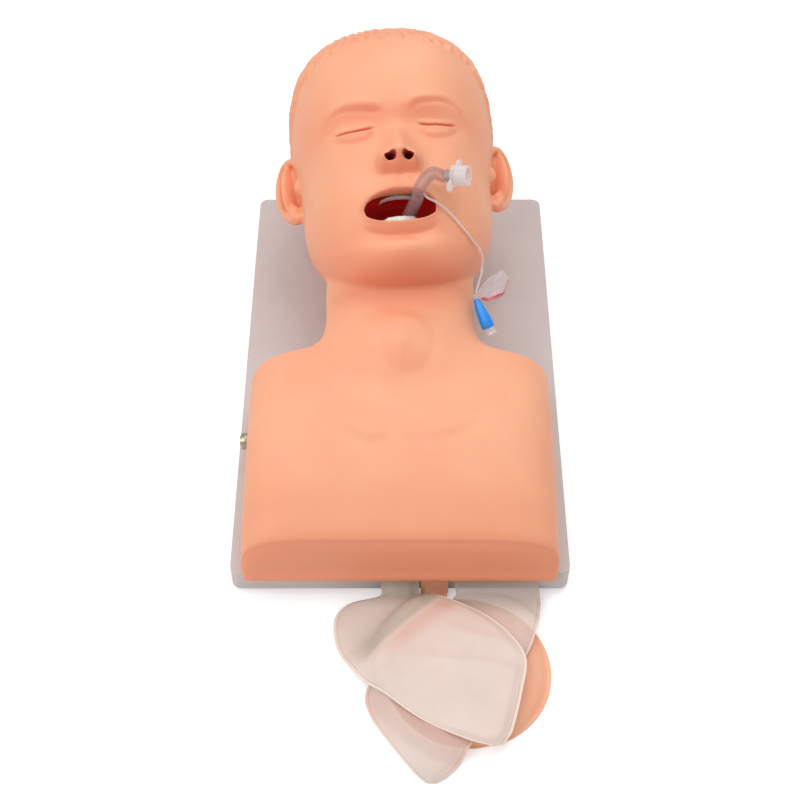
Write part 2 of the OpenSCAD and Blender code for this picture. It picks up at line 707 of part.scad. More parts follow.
// The tracheal tube's path, from its free end at the connector, in through the mouth and down the windpipe
connector_dir = unit([0.92, -0.28, 0.26]);
tube_end = [38.5, 233, 170];
tube_out = concat([for (d = [0, 4, 8]) tube_end - d * connector_dir],
    [[25, 235, 171], [20, 230, 172], [15.5, 224.5, 169], [12.5, 219.5, 160.5]]);
tube_in = [for (p = [[6, -90, 68], [4, -92, 58], [2, -96, 48], [0.6, -102, 40.5], [0, -110, 36], [0, -122, windpipe_z],
    [0, -160, windpipe_z], [0, -212, windpipe_z]]) on_board(p)];
tube_path = concat(tube_out, tube_in);
module tracheal_tube() {
    color(clear_colour) on_top() hose(tube_path, tube_d, tube_bore, 12);
}
module tube_cuff() {
    color(clear_colour)
    on_top() in_head() down_airway(-168, windpipe_z)
    rotate_extrude() polygon([[tube_d / 2 + 0.1, 0], [tube_d / 2 + 1, 0], [windpipe_bore / 2 - 1, 5], [windpipe_bore / 2 - 0.5, 12],
        [windpipe_bore / 2 - 1, 20], [tube_d / 2 + 1, 25], [tube_d / 2 + 0.1, 25]]);
}

connector_from = tube_end - 6 * connector_dir;
module tube_connector() {
    color(white_colour)
    on_top() between(connector_from, connector_from + connector_dir) {
        difference() {
            union() {
                translate([0, 0, 6.2]) cylinder(d = connector_d + 1, h = 2);
                translate([0, 0, 6.2]) cylinder(d = connector_d, h = 12);
                for (s = [-1, 1]) {
                    translate([-3, s * 10 - 4, 6.2]) cube([6, 8, 2]);
                    translate([0, s * 13, 6.2]) cylinder(d = 7, h = 2);
                }
                translate([0, 0, -1]) cylinder(d = tube_bore - 0.5, h = 9);
            }
            translate([0, 0, -5]) cylinder(d = tube_bore - 2.2, h = 30);
            translate([0, 0, 9]) cylinder(d = connector_d - 3.4, h = 20);
        }
    }
}

// The thin line's route, from the tracheal tube over the cheek and off the jaw to the balloon, on the board
line_points = [[17.5, 220.5, 164], [19.5, 220.5, 160.5], [23, 221, 157.5], [28, 221, 154], [34, 219, 149.5], [40, 217, 143.5],
    [44.5, 215, 138.5], [49, 213.5, 132.5], [53, 213, 126], [57, 213.5, 119], [60.5, 214, 112], [62, 213, 105.5],
    [62, 210, 100], [61.5, 206, 96], [60, 202, 92.5], [58.5, 198, 89], [57.5, 195, 86]];
pilot_end = line_points[len(line_points) - 1];
module pilot_line() {
    color(clear_colour) on_top() cord(line_points, pilot_d, 8);
}

valve_top = [57.5, 191, 83];
valve_low = [67, 174.5, 70];
valve_dir = unit(valve_low - valve_top);
module at_valve() {
    on_top() between(valve_top, valve_low) children();
}
balloon_root = pilot_end + unit(valve_top - pilot_end) * 0.5;
module pilot_balloon() {
    stem = valve_top - 0.4 * valve_dir - balloon_root;
    color(clear_colour)
    on_top() {
        between(balloon_root, balloon_root + stem) cylinder(d = 3.6, h = norm(stem));
        hull() {
            translate(balloon_root + stem / 2 + [0.5, 0, 0]) sphere(d = 3, $fn = 12);
            for (w = [-1, 1]) {
                translate(balloon_root + [8.5, 1 + 5 * w, 3 + 5 * w]) sphere(d = 4, $fn = 12);
                translate(balloon_root + [19, 3 + 6 * w, 8 + 6 * w]) sphere(d = 4, $fn = 12);
            }
            translate(balloon_root + [24, 5, 11]) sphere(d = 3, $fn = 12);
        }
    }
}

plunger_travel = 1.5;
valve_bore = valve_d - 3.2;
module valve_housing() {
    color(blue_colour)
    at_valve() difference() {
        union() {
            cylinder(d1 = 4.4, d2 = valve_d - 2, h = valve_l * 0.4);
            translate([0, 0, valve_l * 0.4]) cylinder(d1 = valve_d - 2, d2 = valve_d, h = valve_l * 0.35);
            translate([0, 0, valve_l * 0.75]) cylinder(d = valve_d, h = valve_l * 0.25);
        }
        translate([0, 0, -1]) cylinder(d = 1.6, h = valve_l);
        translate([0, 0, valve_l * 0.45]) cylinder(d = valve_bore, h = valve_l);
    }
}
module valve_seal() {
    color(white_colour)
    at_valve() translate([0, 0, valve_l - 4]) difference() {
        cylinder(d = valve_bore - 0.1, h = 2.5);
        translate([0, 0, -1]) cylinder(d = 3.2, h = 5);
    }
}
module valve_port() {
    color(clear_colour)
    at_valve() translate([0, 0, valve_l - 1.4]) difference() {
        union() {
            cylinder(d = valve_bore - 0.1, h = 2);
            translate([0, 0, 1.5]) cylinder(d = valve_bore + 0.8, h = 6);
            translate([0, 0, 6]) cylinder(d = valve_bore + 1.8, h = 1.5);
        }
        translate([0, 0, -1]) cylinder(d = 4.3, h = 12);
    }
}
module valve_plunger() {
    color(blue_colour)
    at_valve() {
        translate([0, 0, valve_l - 5.6]) cylinder(d = 5, h = 1.4);
        translate([0, 0, valve_l - 5]) cylinder(d = 2.8, h = 8);
        translate([0, 0, valve_l + 2.5]) cylinder(d = 3.6, h = 1);
    }
}

base_board();
board_feet();
foot_screws();
left_skin_rail();
right_skin_rail();
rail_screws();
manikin_skin();
mouth_lining();
tongue();
upper_teeth();
lower_teeth();
nasal_channels();
larynx();
windpipe();
gullet();
lung_connector();
left_bronchus();
right_bronchus();
lung_neck_ties();
stomach_neck_tie();
left_lung_bag();
right_lung_bag();
stomach_bladder();
socket_barrel();
socket_nut();
socket_washer();
socket_insulator();
tracheal_tube();
tube_cuff();
tube_connector();
pilot_line();
pilot_balloon();
valve_housing();
valve_seal();
valve_port();
valve_plunger();
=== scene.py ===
"""The looks of an airway training manikin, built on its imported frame."""

import logging
import math
from dataclasses import dataclass, field
from enum import Enum
from typing import Any, Callable, Optional, Sequence

import bmesh
import bpy
import numpy as np
from mathutils import Euler, Matrix, Vector


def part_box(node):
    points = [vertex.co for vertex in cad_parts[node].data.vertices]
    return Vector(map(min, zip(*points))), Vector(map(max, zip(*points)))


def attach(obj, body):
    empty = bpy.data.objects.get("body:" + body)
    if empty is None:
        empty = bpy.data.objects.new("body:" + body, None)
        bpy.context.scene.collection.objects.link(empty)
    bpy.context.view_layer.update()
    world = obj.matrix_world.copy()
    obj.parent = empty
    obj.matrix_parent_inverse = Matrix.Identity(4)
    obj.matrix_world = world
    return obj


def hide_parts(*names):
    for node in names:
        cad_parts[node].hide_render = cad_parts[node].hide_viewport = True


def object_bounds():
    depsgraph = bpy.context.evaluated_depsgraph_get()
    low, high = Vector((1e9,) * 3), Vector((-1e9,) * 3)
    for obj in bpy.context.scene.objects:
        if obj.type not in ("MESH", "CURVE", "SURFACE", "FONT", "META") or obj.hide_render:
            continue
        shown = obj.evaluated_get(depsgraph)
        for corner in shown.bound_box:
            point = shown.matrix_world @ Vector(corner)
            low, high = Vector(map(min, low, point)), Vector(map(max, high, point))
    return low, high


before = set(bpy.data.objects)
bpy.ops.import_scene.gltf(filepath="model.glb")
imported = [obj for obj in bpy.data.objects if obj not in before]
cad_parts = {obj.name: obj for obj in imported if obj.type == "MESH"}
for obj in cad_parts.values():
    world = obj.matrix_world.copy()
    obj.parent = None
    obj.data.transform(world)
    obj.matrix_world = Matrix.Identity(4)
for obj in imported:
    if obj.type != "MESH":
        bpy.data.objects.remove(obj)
CAD_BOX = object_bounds()
MM = 0.001
BODY = "manikin"
log = logging.getLogger("manikin")


# ---------------------------------------------------------------- shape maths


def ease(t: np.ndarray) -> np.ndarray:
    """A soft step from 0 at t = 0 to 1 at t = 1."""
    c = np.clip(t, 0, 1)
    return c * c * (3 - 2 * c)


def bell(d: np.ndarray, width: float) -> np.ndarray:
    """A smooth bump of height 1 at d = 0, that fades over width."""
    return np.exp(-((d / width) ** 2))


def signed_power(x: np.ndarray, p: float) -> np.ndarray:
    """x to the power p, with its sign kept."""
    return np.sign(x) * np.abs(x) ** p


def along(rows: np.ndarray, s: np.ndarray) -> np.ndarray:
    """Reads a smooth curve through rows at the row numbers s.

    Args:
        rows: One row of values for each station.
        s: Row numbers, which may lie between two rows.

    Returns:
        One row of values for each entry of s.
    """
    last = len(rows) - 1
    i = np.minimum(np.floor(s).astype(int), last - 1)
    t = (s - i).reshape((-1,) + (1,) * (rows.ndim - 1))
    a, b = rows[np.maximum(i - 1, 0)], rows[i]
    c, d = rows[i + 1], rows[np.minimum(i + 2, last)]
    return 0.5 * (2 * b + (c - a) * t + (2 * a - 5 * b + 4 * c - d) * t**2 + (3 * b - a - 3 * c + d) * t**3)


def ripple(points: np.ndarray, size: float, seed: int, octaves: int = 2) -> np.ndarray:
    """Smooth, repeatable waviness, from -1 to 1, at each point.

    Args:
        points: Places, one row each.
        size: The length of a wave, in the points' own unit.
        seed: Which pattern of waves.
        octaves: How many sizes of wave are added, each half the last.

    Returns:
        One number for each point.
    """
    rng = np.random.default_rng(seed)
    total, gain = np.zeros(len(points)), 1.0
    for _ in range(octaves):
        for _ in range(5):
            way = rng.normal(size=points.shape[1])
            way *= 2 * math.pi / size / np.linalg.norm(way)
            total += gain * np.sin(points @ way + rng.uniform(0, 7)) / 4
        size, gain = size / 2, gain / 2
    return np.clip(total, -1, 1)


# ------------------------------------------------------------------- workshop


class Cut(Enum):
    """How one solid changes another."""

    TAKE = "DIFFERENCE"
    ADD = "UNION"
    KEEP = "INTERSECT"


def clear_selection() -> None:
    """Deselects everything, so an operator works only on what is picked next."""
    if bpy.context.object and bpy.context.object.mode != "OBJECT":
        bpy.ops.object.mode_set(mode="OBJECT")
    bpy.ops.object.select_all(action="DESELECT")


def pick(*pieces: bpy.types.Object) -> bpy.types.Object:
    """Selects pieces, with the first one active, and returns it."""
    clear_selection()
    for piece in pieces:
        piece.select_set(True)
    bpy.context.view_layer.objects.active = pieces[0]
    return pieces[0]


def mesh_piece(name: str, points: np.ndarray, faces: Sequence[Sequence[int]]) -> bpy.types.Object:
    """Makes a piece from points in metres and faces."""
    mesh = bpy.data.meshes.new(name)
    mesh.from_pydata([tuple(p) for p in points], [], [tuple(f) for f in faces])
    mesh.update()
    piece = bpy.data.objects.new(name, mesh)
    bpy.context.scene.collection.objects.link(piece)
    return piece


def ring_faces(rings: int, count: int, capped: bool = True) -> list[list[int]]:
    """Faces that join rings of equal size, with both ends closed if capped."""
    faces = []
    for i in range(rings - 1):
        for j in range(count):
            k = (j + 1) % count
            faces.append([i * count + j, i * count + k, (i + 1) * count + k, (i + 1) * count + j])
    if capped:
        faces.append(list(range(count))[::-1])
        faces.append([(rings - 1) * count + j for j in range(count)])
    return faces


def points_of(piece: bpy.types.Object) -> np.ndarray:
    """A piece's points, one row each, in metres."""
    flat = np.zeros(len(piece.data.vertices) * 3)
    piece.data.vertices.foreach_get("co", flat)
    return flat.reshape(-1, 3)


def move_points(piece: bpy.types.Object, points: np.ndarray) -> None:
    """Puts a piece's points in new places, in metres."""
    piece.data.vertices.foreach_set("co", points.ravel())
    piece.data.update()


def modify(piece: bpy.types.Object, kind: str, **settings: Any) -> bpy.types.Object:
    """Adds a modifier with these settings to a piece, and applies it."""
    pick(piece)
    modifier = piece.modifiers.new(kind.title(), kind)
    for name, value in settings.items():
        setattr(modifier, name, value)
    bpy.ops.object.modifier_apply(modifier=modifier.name)
    return piece


def combine(piece: bpy.types.Object, tool: bpy.types.Object, cut: Cut) -> bpy.types.Object:
    """Adds, takes or keeps tool from piece, and deletes the tool."""
    modify(piece, "BOOLEAN", object=tool, operation=cut.value, solver="MANIFOLD")
    bpy.data.objects.remove(tool)
    return piece


def face_outwards(piece: bpy.types.Object) -> bpy.types.Object:
    """Turns every face of a closed piece outwards."""
    pick(piece)
    bpy.ops.object.mode_set(mode="EDIT")
    bpy.ops.mesh.select_all(action="SELECT")
    bpy.ops.mesh.normals_make_consistent(inside=False)
    bpy.ops.object.mode_set(mode="OBJECT")
    return piece


def remesh(piece: bpy.types.Object, voxel: float) -> bpy.types.Object:
    """Makes one even skin of a piece, in cells of this size in metres."""
    return modify(piece, "REMESH", mode="VOXEL", voxel_size=voxel, use_smooth_shade=True)


def join(pieces: Sequence[bpy.types.Object], name: str) -> bpy.types.Object:
    """Joins pieces into one and names it."""
    piece = pick(*pieces)
    bpy.ops.object.join()
    piece.name = piece.data.name = name
    return piece


def copy_of(node: str, name: str, merge: float = 0.00001) -> bpy.types.Object:
    """A copy of a CAD node with its loose triangles merged into clean faces."""
    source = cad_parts[node]
    piece = bpy.data.objects.new(name, source.data.copy())
    bpy.context.scene.collection.objects.link(piece)
    piece.data.materials.clear()
    pick(piece)
    bpy.ops.object.mode_set(mode="EDIT")
    bpy.ops.mesh.select_all(action="SELECT")
    bpy.ops.mesh.remove_doubles(threshold=merge)
    bpy.ops.mesh.dissolve_limited(angle_limit=math.radians(1))
    bpy.ops.object.mode_set(mode="OBJECT")
    return piece


def soften(piece: bpy.types.Object, width: float, angle: float = 32, segments: int = 3) -> bpy.types.Object:
    """Rounds a piece's edges by width in metres, and shades it smooth."""
    modify(
        piece, "BEVEL", width=width, segments=segments, limit_method="ANGLE",
        angle_limit=math.radians(angle), harden_normals=False, use_clamp_overlap=True,
    )
    return smooth(piece, angle)


def smooth(piece: bpy.types.Object, angle: float = 40) -> bpy.types.Object:
    """Shades a piece smooth, apart from edges sharper than angle in degrees."""
    pick(piece)
    bpy.ops.object.shade_smooth_by_angle(angle=math.radians(angle))
    return piece


def paint(piece: bpy.types.Object, material: bpy.types.Material) -> bpy.types.Object:
    """Gives a piece one material."""
    piece.data.materials.clear()
    piece.data.materials.append(material)
    return piece


def settle(piece: bpy.types.Object, material: bpy.types.Material, slot: str, *nodes: str) -> bpy.types.Object:
    """Finishes a new piece: its material, its body and the nodes that it stands for.

    Args:
        piece: The finished piece.
        material: Its material.
        slot: The record's material slot that it takes its finish from; not used.
        nodes: The CAD nodes that it stands for.

    Returns:
        The piece.
    """
    paint(piece, material)
    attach(piece, BODY)
    if nodes:
        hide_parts(*nodes)
    log.info("made %s for %s: %d faces", piece.name, ", ".join(nodes) or "no node", len(piece.data.polygons))
    return piece


def smooth_path(points: Sequence[Sequence[float]], steps: int) -> np.ndarray:
    """Points along a smooth curve through a list of points."""
    rows = np.array(points, float)
    return along(rows, np.linspace(0, len(rows) - 1, steps))


def sweep(path: np.ndarray, radii: np.ndarray, count: int, start: Vector = Vector((0.9, 0.3, 0.1))) -> np.ndarray:
    """Rings of points round a path, that turn with it and don't spin.

    Args:
        path: The path's points.
        radii: A radius for each point.
        count: Points in a ring.
        start: Roughly the first ring's side direction.

    Returns:
        The rings' points, one ring after the other.
    """
    ahead = np.gradient(path, axis=0)
    ahead /= np.linalg.norm(ahead, axis=1)[:, None]
    side, rings = np.array(start, float), []
    turns = np.linspace(0, 2 * math.pi, count, endpoint=False)
    for p, way, r in zip(path, ahead, radii):
        side = side - side.dot(way) * way
        side /= np.linalg.norm(side)
        other = np.cross(way, side)
        rings.append(p + r * (np.cos(turns)[:, None] * side + np.sin(turns)[:, None] * other))
    return np.concatenate(rings)


# ------------------------------------------------------------- shader writing


class Sig:
    """A value in a material's nodes, which takes part in sums as a number does."""

    def __init__(self, tree: bpy.types.NodeTree, socket: bpy.types.NodeSocket) -> None:
        """Keeps the tree and the socket that the value comes from."""
        self.tree, self.socket = tree, socket

    def _math(self, operation: str, *values: Any, clamp: bool = False) -> "Sig":
        """One Math node on values."""
        node = self.tree.nodes.new("ShaderNodeMath")
        node.operation, node.use_clamp = operation, clamp
        for place, value in zip(node.inputs, values):
            if isinstance(value, Sig):
                self.tree.links.new(value.socket, place)
            else:
                place.default_value = value
        return Sig(self.tree, node.outputs[0])

    def __add__(self, other: Any) -> "Sig":
        """Sum."""
        return self._math("ADD", self, other)

    __radd__ = __add__

    def __sub__(self, other: Any) -> "Sig":
        """Difference."""
        return self._math("SUBTRACT", self, other)

    def __rsub__(self, other: Any) -> "Sig":
        """Difference from a number."""
        return self._math("SUBTRACT", other, self)

    def __mul__(self, other: Any) -> "Sig":
        """Product."""
        return self._math("MULTIPLY", self, other)

    __rmul__ = __mul__

    def __truediv__(self, other: Any) -> "Sig":
        """Quotient."""
        return self._math("DIVIDE", self, other)

    def __pow__(self, other: Any) -> "Sig":
        """Power."""
        return self._math("POWER", self, other)

    def clamp(self) -> "Sig":
        """The value, held between 0 and 1."""
        return self._math("ADD", self, 0.0, clamp=True)

    def wave(self) -> "Sig":
        """The sine of the value."""
        return self._math("SINE", self)

    def step(self, low: float, high: float) -> "Sig":
        """0 under low, 1 over high, and even between."""
        return ((self - low) / (high - low)).clamp()


Colour = tuple[float, float, float]


def linear(colour: Colour) -> tuple[float, float, float, float]:
    """A colour as a screen shows it, made ready for a shader."""
    return tuple(c / 12.92 if c <= 0.04045 else ((c + 0.055) / 1.055) ** 2.4 for c in colour) + (1.0,)


class Recipe:
    """A material while it is written: its nodes, its shader and the object's own coordinates."""

    def __init__(self, name: str, **settings: Any) -> None:
        """Makes the material and sets the shader's own sockets.

        Args:
            name: The material's name.
            settings: Shader sockets, with underscores for spaces.
        """
        self.material = bpy.data.materials.new(name)
        self.material.use_nodes = True
        self.tree = self.material.node_tree
        self.shader = self.tree.nodes["Principled BSDF"]
        for socket, value in settings.items():
            self.shader.inputs[socket.replace("_", " ")].default_value = value
        self.place = Sig(self.tree, self.tree.nodes.new("ShaderNodeTexCoord").outputs["Object"])

    def node(self, kind: str, output: int | str = 0, settings: Optional[dict[str, Any]] = None, **sockets: Any) -> Sig:
        """Adds a node.

        Args:
            kind: The node's type, without ShaderNode.
            output: Which of its outputs is returned.
            settings: Its own settings, set before its sockets.
            sockets: Values or links for its sockets, with underscores for spaces.

        Returns:
            The output.
        """
        node = self.tree.nodes.new("ShaderNode" + kind)
        for name, value in (settings or {}).items():
            setattr(node, name, value)
        for name, value in sockets.items():
            key = int(name[1:]) if name[1:].isdigit() else name.replace("_", " ")
            if isinstance(value, Sig):
                self.tree.links.new(value.socket, node.inputs[key])
            else:
                node.inputs[key].default_value = value
        return Sig(self.tree, node.outputs[output])

    def stretched(self, scale: tuple[float, float, float]) -> Sig:
        """The object's coordinates, scaled along each axis."""
        return self.node("Mapping", Vector=self.place, Scale=scale)

    def noise(self, per_metre: float, detail: float = 2.0, rough: float = 0.5, place: Optional[Sig] = None) -> Sig:
        """Cloudy noise from 0 to 1, with this many waves to the metre."""
        return self.node("TexNoise", Vector=place or self.place, Scale=per_metre, Detail=detail, Roughness=rough)

    def mix(self, first: Any, second: Any, share: Any) -> Sig:
        """A colour that goes from first to second as share goes from 0 to 1."""
        return self.node(
            "Mix", "Result_Color" if False else 2, {"data_type": "RGBA"}, i0=share, i6=first, i7=second,
        )

    def attribute(self, name: str) -> Sig:
        """A number that the piece's points carry."""
        return self.node("Attribute", "Fac", {"attribute_name": name})

    def feed(self, socket: str, value: Sig) -> None:
        """Links a value to one of the shader's sockets."""
        self.tree.links.new(value.socket, self.shader.inputs[socket])

    def bump(self, height: Sig, strength: float, distance: float) -> None:
        """Roughens the surface by a height, in metres."""
        self.feed("Normal", self.node("Bump", Strength=strength, Distance=distance, Height=height))


@dataclass(frozen=True)
class SoftSkin:
    """Soft moulded vinyl, with faint cloudy tones, redder lips, fine pores, dark red walls in the nostrils and the
    mouth, and painted shade in the face's creases, under the chin, between the hair's locks and on faces turned from
    the light.
    """

    name: str = "soft_skin"
    tone: Colour = (0.980, 0.705, 0.560)
    warm: Colour = (0.965, 0.660, 0.515)
    # painted shade, for faces turned from the light and under the chin
    shaded: Colour = (0.940, 0.585, 0.445)
    # the lips' red, also used as painted shade in the face's creases, under the chin and between the hair's locks
    lip_red_and_painted_shade: Colour = (0.830, 0.400, 0.300)
    # dark red for the nostril and mouth walls, the inside's own red darkened as painted shade
    deep: Colour = (0.50, 0.06, 0.06)

    def make(self) -> bpy.types.Material:
        """Writes the material."""
        r = Recipe(self.name, Subsurface_Weight=0.12, Subsurface_Scale=0.006, Coat_Weight=0.0, Specular_IOR_Level=0.35)
        r.shader.inputs["Subsurface Radius"].default_value = (1.0, 0.45, 0.25)
        cloud = r.noise(14, 3, 0.55).step(0.30, 0.72)
        base = r.mix(linear(self.tone), linear(self.warm), cloud)
        # painted shade: points stored as warm, facing the foot end or under the chin, take the shaded colour
        base = r.mix(base, linear(self.shaded), (r.attribute("warm") * 0.8).clamp())
        # the lips' red, and painted shade in the creases, under the chin and between the locks
        base = r.mix(base, linear(self.lip_red_and_painted_shade), (r.attribute("lip_red_and_painted_shade") * 0.85).clamp())
        # dark red on the nostril and mouth walls: the inside's red and painted shade in these recesses
        base = r.mix(base, linear(self.deep), r.attribute("deep").clamp())
        r.feed("Base Color", base)
        r.feed("Roughness", r.noise(60, 2).step(0.2, 0.8) * 0.10 + 0.46)
        pores = r.noise(1900, 2, 0.6) * 0.5 + r.noise(420, 2) * 0.5
        r.bump(pores, 0.22, 0.00016)
        return r.material


@dataclass(frozen=True)
class Moulded:
    """A moulded plastic or rubber with a slight cloud in its colour and a fine grain."""

    name: str
    tone: Colour
    shade: Colour
    rough: float = 0.5
    grain: float = 900.0
    depth: float = 0.00008
    metal: float = 0.0
    coat: float = 0.0
    specular: float = 0.5

    def make(self) -> bpy.types.Material:
        """Writes the material."""
        r = Recipe(self.name, Metallic=self.metal, Coat_Weight=self.coat, Specular_IOR_Level=self.specular)
        cloud = r.noise(22, 3, 0.6).step(0.3, 0.7)
        r.feed("Base Color", r.mix(linear(self.tone), linear(self.shade), cloud))
        r.feed("Roughness", r.noise(75, 3).step(0.2, 0.8) * 0.16 + (self.rough - 0.08))
        r.bump(r.noise(self.grain, 3, 0.6), 0.3, self.depth)
        return r.material


@dataclass(frozen=True)
class BrushedMetal:
    """Turned or pressed metal, with fine marks round it and small scratches."""

    name: str
    tone: Colour
    shade: Colour
    rough: float = 0.3

    def make(self) -> bpy.types.Material:
        """Writes the material."""
        r = Recipe(self.name, Metallic=1.0)
        marks = r.noise(240, 4, 0.65, r.stretched((1.0, 9.0, 9.0)))
        r.feed("Base Color", r.mix(linear(self.tone), linear(self.shade), marks.step(0.35, 0.7)))
        r.feed("Roughness", marks * 0.2 + (self.rough - 0.1))
        r.bump(marks, 0.25, 0.00005)
        return r.material


@dataclass(frozen=True)
class ClearPlastic:
    """See-through plastic that is thin or thick, tinted or milky."""

    name: str
    tone: Colour
    cover: float
    rim: float = 0.25
    rough: float = 0.18
    haze: float = 0.05
    stripe: Optional[Colour] = None

    def make(self) -> bpy.types.Material:
        """Writes the material: how far it covers what is behind rises towards its outline."""
        r = Recipe(self.name, Coat_Weight=0.3)
        streaks = r.noise(160, 3, 0.6).step(0.3, 0.75)
        shade = tuple(c * 0.93 for c in self.tone)
        base = r.mix(linear(self.tone), linear(shade), streaks)
        outline = r.node("LayerWeight", "Facing", Blend=0.35)
        cover = outline * self.rim + streaks * self.haze + self.cover
        if self.stripe:
            line = r.attribute("stripe").clamp()
            base, cover = r.mix(base, linear(self.stripe), line), cover + line * 0.8
        r.feed("Base Color", base)
        r.feed("Alpha", cover.clamp())
        r.feed("Roughness", streaks * 0.08 + self.rough)
        return r.material


@dataclass(frozen=True)
class LungFilm:
    """Thin warm-white film, milky, with a raised weld, painted shade as a darker tint beside its fold and near the
    shell, and a pink tint that is partly painted shade.
    """

    name: str
    tone: Colour
    fold: Colour
    cover: float = 0.6
    pink: Colour = (0.93, 0.74, 0.67)
    line: Colour = (0.80, 0.64, 0.57)

    def make(self) -> bpy.types.Material:
        """Writes the material."""
        r = Recipe(self.name, Specular_IOR_Level=0.4)
        cloud = r.noise(26, 3, 0.55).step(0.25, 0.75)
        pale = tuple(min(1.0, c * 1.03) for c in self.tone)
        base = r.mix(linear(self.tone), linear(pale), cloud)
        # painted shade: the darker fold colour where the film lies in shade
        base = r.mix(base, linear(self.fold), r.attribute("fold").clamp())
        # pink: painted shade under the edge of the bag on top, and the fold's crest
        base = r.mix(base, linear(self.pink), (r.attribute("blush") * 0.7).clamp())
        base = r.mix(base, linear(self.line), (r.attribute("rim") * 0.65).clamp())
        r.feed("Base Color", base)
        r.feed("Roughness", cloud * 0.12 + 0.34)
        r.feed("Alpha", (r.attribute("weld") * 0.35 + cloud * 0.06 + self.cover).clamp())
        r.bump(r.noise(700, 3, 0.6), 0.25, 0.0001)
        return r.material


# --------------------------------------------------------------- the soft skin


HEAD_ROWS = np.array([
    [-143, 1, 34, 32, 33], [-140, 22, 58, 6, 32], [-131, 42, 74, -10, 28], [-119, 55, 81, -24, 22],
    [-105, 64, 83, -38, 16], [-90, 70, 84, -52, 10], [-75, 73, 85, -64, 4], [-61, 74, 84, -75, -2],
    [-47, 75, 81, -86, -7], [-33, 77, 79, -94, -10], [-19, 79, 80, -101, -12], [-4, 80.5, 84, -105, -14],
    [15, 81, 86, -108, -15], [38, 80, 82, -107, -16], [60, 75.5, 71, -101, -17], [79, 65, 54, -89, -18],
    [94, 48, 31, -69, -19], [102, 28, 7, -46, -20], [105, 1, -20, -22, -21],
], float)
"""Up the face: height, half width, front, back and middle depth, in millimetres."""


@dataclass(frozen=True)
class EyeLines:
    """The lines round a closed eye, across and up the face in millimetres."""

    middle: tuple[float, float]
    slit: tuple[tuple[float, float], ...]
    brow: tuple[tuple[float, float], ...]
    bag: tuple[tuple[float, float], ...]


FACE_LINES = (
    EyeLines(
        middle=(-30, -17),
        slit=((-45.5, -19.0), (-37, -19.7), (-30.2, -20.3), (-22.6, -19.8), (-14.5, -19.0)),
        brow=((-54, -24), (-53, -13), (-48.5, -5.7), (-40, -2.8), (-26, -4.4), (-15.6, -6.7), (-8, -8.5)),
        bag=((-47, -23), (-40, -27), (-31, -29.5), (-21, -28.3), (-13, -22)),
    ),
    EyeLines(
        middle=(33, -14.5),
        slit=((17.5, -17.3), (25.9, -18.2), (32.9, -17.5), (39.8, -16.9), (48, -15.2)),
        brow=((11, -10), (17.8, -3.7), (27, -1.3), (36.3, 0.4), (44.1, 0), (50.5, -3.5), (55, -12), (56, -21)),
        bag=((15, -21), (22.9, -27.5), (31.9, -28.8), (42.3, -25), (50, -18)),
    ),
)


